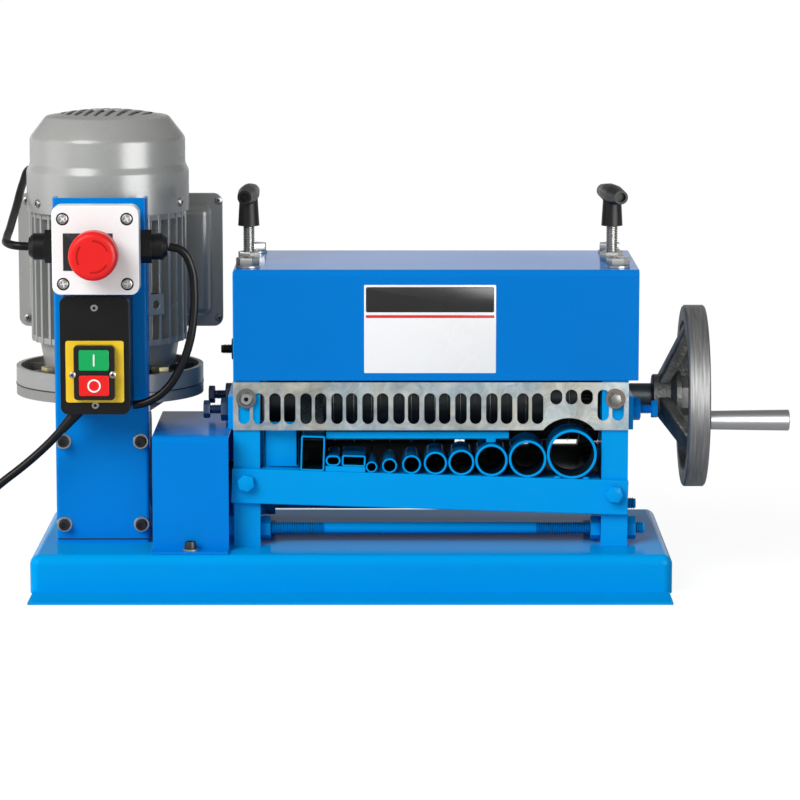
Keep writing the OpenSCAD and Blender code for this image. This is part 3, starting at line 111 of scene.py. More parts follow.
def new_effect(name, takes, gives):
    """A shader node group with named inputs and outputs, and its two end nodes."""
    group = bpy.data.node_groups.new(name, "ShaderNodeTree")
    for key, kind, value in takes:
        socket = group.interface.new_socket(key, in_out="INPUT", socket_type=kind)
        socket.default_value = value
    for key, kind in gives:
        group.interface.new_socket(key, in_out="OUTPUT", socket_type=kind)
    return group, group.nodes.new("NodeGroupInput"), group.nodes.new("NodeGroupOutput")


def new_finish(name, metallic=0.0, specular=0.5):
    """A material with its node tree and its Principled shader."""
    finish = bpy.data.materials.new(name)
    finish.use_nodes = True
    shader = finish.node_tree.nodes["Principled BSDF"]
    shader.inputs["Metallic"].default_value = metallic
    shader.inputs["Specular IOR Level"].default_value = specular
    return finish, finish.node_tree, shader


def use_effect(tree, group, **inputs):
    """Places a shared effect in a material with its own values."""
    return wire(tree, "Group", inputs, node_tree=group)


# Fine unevenness of moulded, sprayed and cast surfaces: a colour that drifts a little, a roughness
# that follows it, and a height for the bump.
uneven, uneven_in, uneven_out = new_effect(
    "uneven_surface",
    [("Colour", "NodeSocketColor", (0.5, 0.5, 0.5, 1)), ("Second", "NodeSocketColor", (0.4, 0.4, 0.4, 1)),
     ("Patches", "NodeSocketFloat", 12.0), ("Grain", "NodeSocketFloat", 500.0),
     ("Least", "NodeSocketFloat", 0.3), ("Most", "NodeSocketFloat", 0.45)],
    [("Colour", "NodeSocketColor"), ("Roughness", "NodeSocketFloat"), ("Height", "NodeSocketFloat")],
)
where = wire(uneven, "TexCoord").outputs["Object"]
patch = wire(uneven, "TexNoise", {"Vector": where, "Scale": uneven_in.outputs["Patches"], "Detail": 5.0})
grain = wire(uneven, "TexNoise", {"Vector": where, "Scale": uneven_in.outputs["Grain"], "Detail": 2.0})
drift = ramp(uneven, patch.outputs["Fac"], 0.35, 0.68)
set_inputs(uneven, uneven_out, {
    "Colour": mix_tones(uneven, drift, uneven_in.outputs["Colour"], uneven_in.outputs["Second"]),
    "Roughness": ramp(uneven, patch.outputs["Fac"], 0.3, 0.7,
                      uneven_in.outputs["Least"], uneven_in.outputs["Most"]),
    "Height": grain.outputs["Fac"],
})
grain_depth = 0.0004


def plain_finish(name, colour, second, grain_scale, bump, least, most,
                 metallic=0.0, specular=0.5, patches=12.0):
    """A finish of one tone with drifting patches and a fine grain."""
    finish, tree, shader = new_finish(name, metallic, specular)
    skin = use_effect(tree, uneven, Colour=(*colour, 1), Second=(*second, 1), Patches=patches,
                      Grain=grain_scale, Least=least, Most=most)
    rise = wire(tree, "Bump", {
        "Height": skin.outputs["Height"], "Strength": bump, "Distance": grain_depth})
    set_inputs(tree, shader, {
        "Base Color": skin.outputs["Colour"], "Roughness": skin.outputs["Roughness"],
        "Normal": rise.outputs["Normal"]})
    return finish


black_sheath = plain_finish(
    "black_sheath", (0.003, 0.003, 0.0032), (0.006, 0.006, 0.0062), 900, 0.1, 0.26, 0.36, specular=0.2)


def new_cord(name, points, finish, slot, *nodes):
    """A round cord on a smooth curve through points of the row frame."""
    curve = bpy.data.curves.new(name, "CURVE")
    curve.dimensions = "3D"
    curve.bevel_depth = cord_thickness / 2
    curve.bevel_resolution = 5
    curve.resolution_u = 5
    curve.use_fill_caps = True
    spline = curve.splines.new("BEZIER")
    spline.bezier_points.add(len(points) - 1)
    for knot, point in zip(spline.bezier_points, points):
        knot.co = point
        knot.handle_left_type = "AUTO"
        knot.handle_right_type = "AUTO"
    curve.materials.append(finish)
    cord = add_object(name, curve)
    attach(cord, "frame")
    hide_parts(*nodes)
    return cord


lead_route = [
    (-239.58, -80, 132.54), (-244.3, -80, 127.3), (-249.5, -80, 121.9), (-257.5, -80.2, 114.3),
    (-267, -80.8, 106), (-277.5, -81.6, 97.6), (-288.5, -82.6, 89.2), (-299.5, -84, 79.7), (-310, -86, 68),
    (-320, -88, 54.5), (-329, -90.4, 40.5), (-339, -93, 27), (-352, -96.6, 14.5), (-368, -100, 7.4),
    (-386, -103, 5), (-403, -104.7, 4.6),
]
coil_middle = Vector((-410, -53, 4.6))
coil_inner = 32
coil_step = 7.5
coil_turns = 5.25
coil_climb = 7.5
coil_points = 24
coil = []
for i in range(round(coil_turns * coil_points) + 1):
    done = i / (coil_turns * coil_points)
    angle = -math.pi / 2 - math.tau * coil_turns * done
    radius = coil_inner + coil_step * coil_turns * abs(done - 0.5)
    height = coil_climb * min(max((done - 0.5) * coil_turns * 2 + 0.5, 0), 1)
    coil.append(coil_middle + Vector((radius * math.cos(angle), radius * math.sin(angle), height)))
coil_last = coil[-1]
plug_middle = Vector((coil_last[0] - 2, coil_last[1] + 76, 14.1))
to_plug = [
    coil_last + Vector((0, 7, 0)), coil_last + Vector((-0.5, 20, 1)),
    plug_middle - Vector((0, 36, 0.4)), plug_middle - Vector((0, 28, 0)),
]
lead_points = [place(*point) for point in [*lead_route, *coil, *to_plug]]
mains_lead = new_cord("mains_lead", lead_points, black_sheath, "black_rubber", "mains_cord", "mains_coil")
stop_cable_route = [
    (-149.6, -77.5, 284.5), (-139, -77.5, 281), (-131.5, -77.6, 268), (-129, -78, 247), (-130, -78.4, 224),
    (-134, -78.6, 202), (-142, -78.6, 182), (-154, -78.5, 165), (-167, -78, 156), (-176, -77.3, 153.2),
    (-180.6, -77, 152.6),
]
motor_cable_route = [
    (-265.6, -77.5, 284.5), (-275, -76.5, 285), (-283, -68, 286), (-286, -48, 288), (-286, -24, 293),
    (-286, 4, 300), (-285.5, 30, 308), (-285, 54, 317), (-284, 76, 325), (-283, 94, 331),
    (-281, 108, 332), (-279, 119, 327), (-278, 124, 319), (-278, 125, 310.6),
]
stop_points = [place(*point) for point in stop_cable_route]
motor_points = [place(*point) for point in motor_cable_route]
stop_cable = new_cord("stop_cable", stop_points, black_sheath, "black_rubber", "control_cables")
motor_cable = new_cord("motor_cable", motor_points, black_sheath, "black_rubber", "control_cables")
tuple(lead_points[0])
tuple(stop_points[0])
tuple(motor_points[0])

# Stage
# A pale floor that keeps a faint shadow, a soft key light from the upper left, a panel on the left, one
# on the right that only gives sheen, and a white studio that is dimmer overhead and on the right.
ground = bmesh.new()
bmesh.ops.create_grid(ground, x_segments=1, y_segments=1, size=40)
ground_data = bpy.data.meshes.new("floor")
ground.to_mesh(ground_data)
ground.free()
floor = add_object("floor", ground_data)
floor_finish = bpy.data.materials.new("floor")
floor_finish.use_nodes = True
tree = floor_finish.node_tree
tree.nodes.clear()
seen = wire(tree, "LightPath")
matt = wire(tree, "BsdfDiffuse", {"Color": (0.8, 0.8, 0.8, 1)})
faint = wire(tree, "BsdfDiffuse", {"Color": (0.12, 0.12, 0.12, 1)})
white = wire(tree, "Emission", {"Color": (1, 1, 1, 1), "Strength": 0.92})
pale = wire(tree, "AddShader", {0: faint.outputs["BSDF"], 1: white.outputs["Emission"]})
sides = wire(tree, "MixShader", {
    0: seen.outputs["Is Camera Ray"], 1: matt.outputs["BSDF"], 2: pale.outputs["Shader"]})
wire(tree, "OutputMaterial", {"Surface": sides.outputs["Shader"]})
ground_data.materials.append(floor_finish)


def new_sun(name, towards, strength, softness):
    """A soft distant light that shines from a direction."""
    sun = bpy.data.lights.new(name, "SUN")
    sun.energy = strength
    sun.angle = math.radians(softness)
    lamp = add_object(name, sun)
    lamp.rotation_euler = Vector(towards).to_track_quat("Z", "Y").to_euler()


def new_softbox(name, at, wide, high, power, sheen_only=False):
    """An upright lit panel beside the machine, turned towards its middle and unseen by the camera."""
    panel = bpy.data.lights.new(name, "AREA")
    panel.shape = "RECTANGLE"
    panel.size = wide
    panel.size_y = high
    panel.energy = power
    lamp = add_object(name, panel)
    lamp.location = at
    lamp.rotation_euler = Vector((at[0], at[1], 0)).to_track_quat("Z", "Y").to_euler()
    lamp.visible_camera = False
    lamp.visible_diffuse = not sheen_only


def calc(tree, operation, *values):
    """The result of a Math node on values or sockets."""
    return wire(tree, "Math", dict(enumerate(values)), operation=operation).outputs[0]


new_sun("key_light", (-0.48, -0.66, 0.58), 2.25, 35)
new_softbox("right_panel", (0.75, -0.95, 0.5), 0.9, 1.0, 24, sheen_only=True)
new_softbox("left_panel", (-1.5, -0.3, 0.6), 0.9, 1.2, 4.0)
studio = bpy.data.worlds.new("studio")
studio.use_nodes = True
bpy.context.scene.world = studio
tree = studio.node_tree
seen = wire(tree, "LightPath")
heading = wire(tree, "TexCoord").outputs["Generated"]
x, y, z = wire(tree, "SeparateXYZ", {"Vector": heading}).outputs
rear = ramp(tree, y, -0.3, 0.3)
band_foot = ramp(tree, rear, 0, 1, 0.3, 0.1)
band_head = ramp(tree, rear, 0, 1, 0.5, 0.165)
far_level = ramp(tree, x, -0.09, 0.09, 0.25, 0.42)
room = ramp(tree, z, band_foot, band_head, 0.95, far_level)
towards_left = wire(tree, "VectorMath", {0: heading, 1: (-0.6, -0.8, 0)}, operation="DOT_PRODUCT")
fill = ramp(tree, towards_left.outputs["Value"], -0.7, 0.7, 0.19, 0.52)
mirrored = wire(tree, "Mix", {0: seen.outputs["Is Glossy Ray"], 2: fill, 3: room})
behind = calc(tree, "MAXIMUM", seen.outputs["Is Camera Ray"], seen.outputs["Is Transmission Ray"])
level = wire(tree, "Mix", {0: behind, 2: mirrored.outputs[0], 3: 1.0})
set_inputs(tree, tree.nodes["Background"], {"Color": (1, 1, 1, 1), "Strength": level.outputs[0]})

# Base tray
# Steel sheet folded into a shallow tray with soft corners and turned-out feet, sprayed with a glossy
# blue enamel that mirrors what stands on it.
def round_edges(piece, edge):
    """Rounds the sharp edges of a piece and evens its shading, without touching its mesh."""
    weld = piece.modifiers.new("weld", "WELD")
    weld.merge_threshold = 0.00001
    flat = piece.modifiers.new("flat", "DECIMATE")
    flat.decimate_type = "DISSOLVE"
    flat.angle_limit = math.radians(0.3)
    bevel = piece.modifiers.new("edges", "BEVEL")
    bevel.width = edge / 1000
    bevel.segments = 2
    bevel.limit_method = "ANGLE"
    bevel.angle_limit = math.radians(35)
    bevel.use_clamp_overlap = True
    even = piece.modifiers.new("shading", "WEIGHTED_NORMAL")
    even.keep_sharp = True


def dress(finish, edge, *names):
    """Gives CAD nodes their finish and soft edges of a width in millimetres, or none."""
    for name in names:
        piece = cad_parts[name]
        for holder in piece.material_slots:
            holder.material = finish
        if edge:
            round_edges(piece, edge)


def enamel(name, colour, second, specular):
    """Sprayed gloss paint: a smooth skin with a faint orange peel."""
    return plain_finish(name, colour, second, 260, 0.04, 0.1, 0.16, specular=specular, patches=5.0)


# One blue enamel in lit and shaded copies: base_blue and frame_blue are lighter as painted floor bounce,
# panel_blue and column_blue darker as painted shade.
base_blue = enamel("base_blue", (0.0, 0.325, 0.76), (0.0, 0.305, 0.73), 0.03)
frame_blue = enamel("frame_blue", (0.0, 0.335, 0.79), (0.0, 0.315, 0.76), 0.05)
panel_blue = enamel("panel_blue", (0.0, 0.188, 0.62), (0.0, 0.176, 0.59), 0.07)
column_blue = enamel("column_blue", (0.0, 0.215, 0.68), (0.0, 0.2, 0.64), 0.05)
dress(base_blue, 0.6, "base_tray")

# Side plates and tie rods
# Two thick steel plates stand on the tray and carry everything between them. Painted M10 rods with
# four nuts each tie them together low down, and their threads show at both ends, one flank of each thread
# painted dark as painted shade.
dress(frame_blue, 0.8, "left_side_plate", "right_side_plate")


def facing(at, towards, turn=0.0):
    """Places a shape made in millimetres: its +Z points towards a direction, turned about it in degrees."""
    aim = Vector(towards).to_track_quat("Z", "Y").to_matrix().to_4x4()
    return Matrix.Translation(at) @ aim @ Matrix.Rotation(math.radians(turn), 4, "Z") @ Matrix.Scale(0.001, 4)


def only_verts(geom):
    """The vertices among what an operator gave back."""
    return [v for v in geom if isinstance(v, bmesh.types.BMVert)]


def added_verts(mesh, old):
    """The vertices a mesh gained since its old ones were noted."""
    return [v for v in mesh.verts if v not in old]


def settle(mesh, old, matrix, finish=0):
    """Closes, turns outwards, paints and places what a mesh gained since its old vertices were noted."""
    added = added_verts(mesh, old)
    bmesh.ops.remove_doubles(mesh, verts=added, dist=0.002)
    added = added_verts(mesh, old)
    faces = list({face for v in added for face in v.link_faces})
    bmesh.ops.recalc_face_normals(mesh, faces=faces)
    for face in faces:
        face.material_index = finish
    bmesh.ops.transform(mesh, matrix=matrix, verts=added)


def chain(mesh, points, closed=False):
    """Vertices joined by edges in a row."""
    verts = [mesh.verts.new(point) for point in points]
    pairs = list(zip(verts, verts[1:]))
    if closed:
        pairs.append((verts[-1], verts[0]))
    return verts, [mesh.edges.new(pair) for pair in pairs]


def spun(mesh, points, angle, steps, climb=0.0, closed=False):
    """Spins a row of points about the Z axis. A full turn is joined up, unless it climbs."""
    verts, edges = chain(mesh, points, closed)
    bmesh.ops.spin(mesh, geom=verts + edges, cent=(0, 0, 0), axis=(0, 0, 1), dvec=(0, 0, climb / steps),
                   angle=angle, steps=steps, use_merge=angle == math.tau and not climb, use_duplicate=False)


def turned(mesh, profile, matrix, finish=0, steps=40):
    """Spins a profile of radius and height about the Z axis."""
    old = set(mesh.verts)
    spun(mesh, [(radius, 0, height) for radius, height in profile], math.tau, steps)
    settle(mesh, old, matrix, finish)


def hexagon(mesh, across, low, high, matrix, finish=0, hole=0.0, edge=0.5):
    """A hexagon head or, with a hole, a nut; its ends are chamfered."""
    old = set(mesh.verts)
    at_low = Matrix.Translation((0, 0, low))
    bmesh.ops.create_circle(mesh, cap_ends=not hole, segments=6, radius=across / math.sqrt(3), matrix=at_low)
    if hole:
        bmesh.ops.create_circle(mesh, cap_ends=False, segments=24, radius=hole / 2, matrix=at_low)
        bmesh.ops.bridge_loops(mesh, edges=[e for e in mesh.edges if e.verts[0] not in old])
    base = [face for face in mesh.faces if face.verts[0] not in old]
    grown = bmesh.ops.extrude_face_region(mesh, geom=base, use_keep_orig=True)
    lifted = only_verts(grown["geom"])
    bmesh.ops.translate(mesh, vec=(0, 0, high - low), verts=lifted)
    rim = [
        e for e in mesh.edges
        if e.verts[0] not in old and abs(e.verts[0].co.z - e.verts[1].co.z) < 0.001
        and min(v.co.xy.length for v in e.verts) > across * 0.55
    ]
    bmesh.ops.bevel(mesh, geom=rim, offset=edge, segments=2, profile=0.5, affect="EDGES", material=-1)
    settle(mesh, old, matrix, finish)


def threaded(mesh, radius, low, high, pitch, matrix, finish=0, shaded_flank=None):
    """A rod with a thread: one turn of a tooth, repeated up a core. One flank may take a darker finish as
    painted shade.
    """
    root = radius - 0.55 * pitch
    foot = root - 0.1
    steps = 24
    turned(mesh, [(0, low), (root, low), (root, high), (0, high)], matrix, finish, steps)
    old = set(mesh.verts)
    tooth = [(foot, 0), (radius, 0.38), (radius, 0.5), (foot, 0.88)]
    spun(mesh, [(out, 0, low + up * pitch) for out, up in tooth], math.tau, steps, climb=pitch)
    turn = added_verts(mesh, old)
    turn += list({face for v in turn for face in v.link_faces})
    for k in range(1, int((high - low) / pitch) - 1):
        copy = bmesh.ops.duplicate(mesh, geom=turn)["geom"]
        bmesh.ops.translate(mesh, vec=(0, 0, k * pitch), verts=only_verts(copy))
    settle(mesh, old, matrix, finish)
    if shaded_flank is None:
        return
    mesh.normal_update()
    axis = matrix.col[2].xyz.normalized()
    # The flank that faces back along the axis takes the darker finish, as painted shade.
    for face in {face for v in added_verts(mesh, old) for face in v.link_faces}:
        if face.normal.dot(axis) < -0.3:
            face.material_index = shaded_flank


def new_piece(name, mesh, finishes, slot, body, *nodes):
    """Makes a finished piece of the object that rides on a body and stands for CAD nodes."""
    data = bpy.data.meshes.new(name)
    mesh.to_mesh(data)
    mesh.free()
    for finish in finishes:
        data.materials.append(finish)
    data.shade_smooth()
    data.set_sharp_from_angle(angle=math.radians(32))
    piece = add_object(name, data)
    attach(piece, body)
    if nodes:
        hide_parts(*nodes)
    return piece


left_face, left_inside, right_inside, right_face = -98, -76, 208, 230
left_middle, right_middle = -87, 219
tie_height = 44.5
tie_depths = (-50, 65)
tie_stick_out = 15.5
tie_thread = 92
pitch_m10, m10_radius, m10_shank, m10_hole = 1.5, 5, 4.6, 9.6
seat = 0.02
along_x = (1, 0, 0)
# Dark blue for one thread flank of the tie rods, painted shade.
shaded_flank_blue = enamel("shaded_flank_blue", (0.0, 0.07, 0.2), (0.0, 0.06, 0.18), 0.03)
rods = bmesh.new()
for depth in tie_depths:
    start = facing(place(left_face - tie_stick_out, depth, tie_height), along_x)
    length = right_face - left_face + 2 * tie_stick_out
    shank_low, shank_high = tie_thread - 1, length - tie_thread + 1
    threaded(rods, m10_radius, 0, tie_thread, pitch_m10, start, shaded_flank=1)
    turned(rods, [(0, shank_low), (m10_shank, shank_low), (m10_shank, shank_high), (0, shank_high)], start)
    threaded(rods, m10_radius, length - tie_thread, length, pitch_m10, start, shaded_flank=1)
new_piece("tie_rods", rods, [frame_blue, shaded_flank_blue], "blue_paint", "frame", "tie_rods")
nut_across, nut_height = 17, 8
nuts = bmesh.new()
for depth in tie_depths:
    for x in (left_face - nut_height, left_inside, right_inside - nut_height, right_face):
        spot = facing(place(x, depth, tie_height), along_x)
        hexagon(nuts, nut_across, seat, nut_height - seat, spot, hole=m10_hole, edge=0.8)
new_piece("tie_nuts", nuts, [frame_blue], "blue_paint", "frame", "hex_nuts")

# Top cover
# Steel sheet folded into a box over the blades and bolted down through wide zinc washers. A plain white
# panel with a dark band is stuck on its front.
dress(panel_blue, 0.7, "top_cover")
zinc = plain_finish("zinc", (0.46, 0.46, 0.445), (0.33, 0.33, 0.315), 700, 0.05, 0.2, 0.34, metallic=0.85)
panel_white = plain_finish("panel_white", (0.9, 0.9, 0.9), (0.88, 0.88, 0.88), 300, 0.02, 0.22, 0.3)
panel_black = plain_finish("panel_black", (0.008, 0.008, 0.009), (0.012, 0.012, 0.012), 300, 0.02, 0.22, 0.3)
panel_red = plain_finish("panel_red", (0.72, 0.016, 0.02), (0.66, 0.014, 0.018), 300, 0.02, 0.22, 0.3)
upwards = (0, 0, 1)
forwards = (0, -1, 0)


def slab(mesh, wide, high, low, top, radius, edge, matrix, finish=0):
    """A flat plate with round corners between two levels, its upper edge softened."""
    old = set(mesh.verts)
    shape = Matrix.Translation((0, 0, low)) @ Matrix.Diagonal((wide / 2, high / 2, 1, 1))
    bmesh.ops.create_grid(mesh, x_segments=1, y_segments=1, size=1, matrix=shape)
    corners = added_verts(mesh, old)
    bmesh.ops.bevel(mesh, geom=corners, offset=radius, segments=6, profile=0.5, affect="VERTICES",
                    material=-1)
    flat = [face for face in mesh.faces if face.verts[0] not in old]
    grown = bmesh.ops.extrude_face_region(mesh, geom=flat, use_keep_orig=True)
    lifted = only_verts(grown["geom"])
    bmesh.ops.translate(mesh, vec=(0, 0, top - low), verts=lifted)
    rim = [e for e in mesh.edges if e.verts[0] in lifted and e.verts[1] in lifted]
    bmesh.ops.bevel(mesh, geom=rim, offset=edge, segments=2, profile=0.5, affect="EDGES", material=-1)
    settle(mesh, old, matrix, finish)


def washer(mesh, outside, hole, low, high, matrix, finish=0):
    """A flat ring with slightly rounded rims."""
    radius, bore = outside / 2, hole / 2
    rim = min(0.3, (high - low) / 4)
    turned(mesh, [(bore, low), (radius - rim, low), (radius, low + rim), (radius, high - rim),
                  (radius - rim, high), (bore, high), (bore, low)], matrix, finish, 36)


cover_top = 264
cover_front = -71
m8_across, m8_head, m8_washer, m8_hole = 13, 5.5, 1.6, 8.6
m10_across, m10_head = 17, 6.4
bolts = bmesh.new()
for i, (x, y) in enumerate([(-86, -50), (-84, 65), (221.5, -50), (221, 65)]):
    spot = facing(place(x, y, cover_top), upwards, 23 + 31 * i)
    washer(bolts, 20, m8_hole, seat, 2, spot)
    hexagon(bolts, m10_across, 2 + seat, 2 + m10_head, spot, edge=0.6)
new_piece("cover_bolts", bolts, [zinc], "zinc_plate", "frame", "hex_bolts")
panel = bmesh.new()
panel_spot = facing(place(65.2, cover_front, 215.1), forwards)
slab(panel, 109, 73.4, seat, 0.3, 0.8, 0.1, panel_spot)
band_spot = facing(place(65.2, cover_front, 239.6), forwards)
slab(panel, 106, 21, 0.3, 0.4, 1.5, 0.04, band_spot, 1)
slab(panel, 106, 2.4, 0.3, 0.4, 0.2, 0.04, facing(place(65.2, cover_front, 225.6), forwards), 2)
new_piece("front_panel", panel, [panel_white, panel_black, panel_red], "white_plastic", "frame")

# Depth adjusters
# Zinc-plated M10 screws that lower the blades, one flank of each thread painted dark as painted shade, each
# with a lock nut on the cover and a black moulded T handle. The two handles stand at different angles.
black_moulding = plain_finish(
    "black_moulding", (0.005, 0.005, 0.0054), (0.008, 0.008, 0.0084), 900, 0.1, 0.3, 0.4, specular=0.2)
# Dark steel for one thread flank of the adjusting screws, painted shade.
shaded_flank_steel = plain_finish(
    "shaded_flank_steel", (0.04, 0.04, 0.04), (0.06, 0.06, 0.06), 700, 0.05, 0.3, 0.4, metallic=0.5)


def copied(name):
    """A CAD node's mesh with its loose triangles joined."""
    mesh = bmesh.new()
    mesh.from_mesh(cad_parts[name].data)
    bmesh.ops.remove_doubles(mesh, verts=mesh.verts, dist=0.00001)
    return mesh


screw_tip, tip_length = 3.5, 7
lock_nuts = bmesh.new()
for side, x, nut_turn, tee_turn in (("left", left_middle, 8, -12), ("right", right_middle, 28, 24)):
    spot = facing(place(x, 0, cover_top), upwards, nut_turn)
    hexagon(lock_nuts, nut_across, seat, nut_height, spot, hole=m10_hole, edge=0.8)
    screw = bmesh.new()
    bottom, top = (corner[2] * 1000 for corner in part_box(side + "_screw"))
    tip_top = bottom + tip_length
    spot = facing(place(x, 0, 0), upwards)
    turned(screw, [(0, bottom), (screw_tip, bottom), (screw_tip, tip_top), (0, tip_top)], spot)
    threaded(screw, m10_radius, tip_top - 0.8, top, pitch_m10, spot, shaded_flank=1)
    new_piece(side + "_adjusting_screw", screw, [zinc, shaded_flank_steel], "zinc_plate",
              side + "_adjuster", side + "_screw")
    tee = copied(side + "_tee")
    swing = Matrix.Rotation(math.radians(tee_turn), 3, "Z")
    bmesh.ops.rotate(tee, cent=place(x, 0, 0), matrix=swing, verts=tee.verts)
    handle = new_piece(side + "_handle", tee, [black_moulding], "black_plastic",
                       side + "_adjuster", side + "_tee")
    round_edges(handle, 1.2)
new_piece("lock_nuts", lock_nuts, [zinc], "zinc_plate", "frame", "hex_nuts")

# Front guard
# Galvanised sheet with a row of punched slots, held by a button-head screw on the left and a hexagon
# bolt with a wide washer on the right.
galvanised, tree, shader = new_finish("galvanised", 0.5, 0.4)
where = wire(tree, "TexCoord").outputs["Object"]
clouds = wire(tree, "TexNoise", {
    "Vector": where, "Scale": 55.0, "Detail": 6.0, "Roughness": 0.65, "Distortion": 1.2}).outputs["Fac"]
tint = wire(tree, "TexNoise", {"Vector": where, "Scale": 22.0, "Detail": 2.0}).outputs["Fac"]
light = ramp(tree, clouds, 0.32, 0.68)
bluish = mix_tones(tree, light, (0.2, 0.265, 0.3, 1), (0.43, 0.48, 0.49, 1))
yellowish = mix_tones(tree, light, (0.25, 0.255, 0.23, 1), (0.47, 0.46, 0.4, 1))
rolled = wire(tree, "Bump", {"Height": tint, "Strength": 0.1, "Distance": 0.0006})
set_inputs(tree, shader, {
    "Base Color": mix_tones(tree, ramp(tree, tint, 0.4, 0.6), bluish, yellowish),
    "Roughness": ramp(tree, clouds, 0, 1, 0.28, 0.46), "Normal": rolled.outputs["Normal"]})
dress(galvanised, 0.7, "front_guard")
# Near-black for screw recesses and the thin rings round the lid screws: painted shade on bright metal.
shaded_recess = plain_finish(
    "shaded_recess", (0.01, 0.01, 0.01), (0.014, 0.014, 0.014), 600, 0.05, 0.4, 0.5, specular=0.1)
stainless = plain_finish(
    "stainless", (0.36, 0.36, 0.35), (0.27, 0.27, 0.26), 600, 0.05, 0.3, 0.42, metallic=0.9)
dull_steel = plain_finish(
    "dull_steel", (0.17, 0.17, 0.165), (0.11, 0.11, 0.105), 500, 0.12, 0.34, 0.46, metallic=0.8)
brown_steel = plain_finish(
    "brown_steel", (0.13, 0.105, 0.09), (0.09, 0.075, 0.068), 500, 0.15, 0.36, 0.48, metallic=0.7)


def cross(size):
    """The outline of a cross recess."""
    long, short = size, size * 0.24
    quarter = [(long, -short), (long, short), (short, short)]
    return [Matrix.Rotation(math.pi / 2 * k, 2) @ Vector(corner) for k in range(4) for corner in quarter]


def socket(across):
    """The outline of a hexagon socket."""
    return [Matrix.Rotation(math.pi / 3 * k, 2) @ Vector((across / math.sqrt(3), 0)) for k in range(6)]


def driven_head(mesh, radius, low, high, outline, depth, matrix, finish=0, shade=0, crown=0.62):
    """A round screw head with a domed rim and a recess of an outline, which may be painted dark as painted
    shade.
    """
    old = set(mesh.verts)
    steps = 24
    flat = crown * radius
    rim = [(radius, 0), (radius, 0.3), (0.93 * radius, 0.7), (flat, 1)]
    spun(mesh, [(out, 0, low + up * (high - low)) for out, up in rim], math.tau, steps)
    ring = bmesh.ops.create_circle(mesh, segments=steps, radius=flat, matrix=Matrix.Translation((0, 0, high)))
    recess = chain(mesh, [(*corner, high) for corner in outline], closed=True)[1]
    ring_edges = list({e for v in ring["verts"] for e in v.link_edges})
    bmesh.ops.bridge_loops(mesh, edges=ring_edges + recess)
    sunk = bmesh.ops.extrude_edge_only(mesh, edges=recess)["geom"]
    deep = only_verts(sunk)
    bmesh.ops.translate(mesh, vec=(0, 0, -depth), verts=deep)
    bmesh.ops.contextual_create(mesh, geom=[e for e in sunk if isinstance(e, bmesh.types.BMEdge)
                                            and e.verts[0] in deep and e.verts[1] in deep])
    recess_faces = list({face for v in deep for face in v.link_faces})
    settle(mesh, old, matrix, finish)
    for face in recess_faces:
        face.material_index = shade


guard_screw_height = 157
guard_screw = bmesh.new()
spot = facing(place(left_middle, cover_front, guard_screw_height), forwards, 12)
washer(guard_screw, 16.5, m8_hole, seat, m8_washer, spot, 2)
driven_head(guard_screw, 5.6, m8_washer + seat, m8_washer + 3.2, socket(3.6), 2, spot, shade=1, crown=0.78)
new_piece("guard_screw", guard_screw, [stainless, shaded_recess, dull_steel], "zinc_plate",
          "frame", "socket_screws")
guard_bolt = bmesh.new()
spot = facing(place(right_middle, cover_front, guard_screw_height), forwards, 17)
washer(guard_bolt, 16.5, m8_hole, seat, 2.4, spot)
washer(guard_bolt, 12.4, m8_hole, 2.4 + seat, 3.4, spot)
hexagon(guard_bolt, 8.6, 3.4 + seat, 7, spot, 1, edge=0.5)
new_piece("guard_bolt", guard_bolt, [brown_steel, dull_steel], "zinc_plate", "frame", "hex_bolts")

# Rail with guide tubes
# A sloping rail of angle steel carries a row of welded tubes that lead wires of different thickness to the
# blades, their bores painted near-black and their barrels dark blue as painted shade, and a folded shield
# closes the row on the left. All of it is painted, and so are the two bolts that hold the rail.
dress(frame_blue, 0.7, "guide_rail")
dress(frame_blue, 0.5, "tube_bar")
rail_left, rail_top, rail_front = -99, 98.8, -75
rail_tilt = math.radians(1.8)
tube_front, tube_length = -74, 46
backwards = (0, 1, 0)
shaded_bore = plain_finish(
    "shaded_bore", (0.0, 0.014, 0.034), (0.0, 0.01, 0.026), 260, 0.04, 0.4, 0.5, specular=0.1)
shaded_barrel_blue = enamel("shaded_barrel_blue", (0.0, 0.1, 0.27), (0.0, 0.09, 0.25), 0.03)
# Inward faces of the flat tubes take the near-black bore finish and their outward side faces the dark barrel
# blue, both painted shade.
flat_tubes = copied("flat_guide_tubes")
waiting = set(flat_tubes.verts)
while waiting:
    part = [waiting.pop()]
    for v in part:
        near = {e.other_vert(v) for e in v.link_edges} & waiting
        waiting -= near
        part += near
    middle = sum((v.co for v in part), Vector()) / len(part)
    for face in {face for v in part for face in v.link_faces}:
        if abs(face.normal.y) < 0.3:
            outward = (face.calc_center_median() - middle).xz.dot(face.normal.xz)
            face.material_index = 2 if outward > 0 else 1
flat_piece = new_piece("flat_guide_tubes", flat_tubes, [frame_blue, shaded_bore, shaded_barrel_blue], "blue_paint",
                       "frame", "flat_guide_tubes")
round_edges(flat_piece, 0.3)
round_tubes = [
    (16.7, 9.4, 1.2, 0), (31.6, 12.5, 1.4, 0), (49.8, 15.7, 1.5, 0), (69.6, 19.3, 1.7, 0),
    (91.1, 21.6, 1.8, 0), (116, 27, 2, 0), (146, 31.2, 2, 2), (182.6, 41.4, 2.2, 11),
]
tubes = bmesh.new()
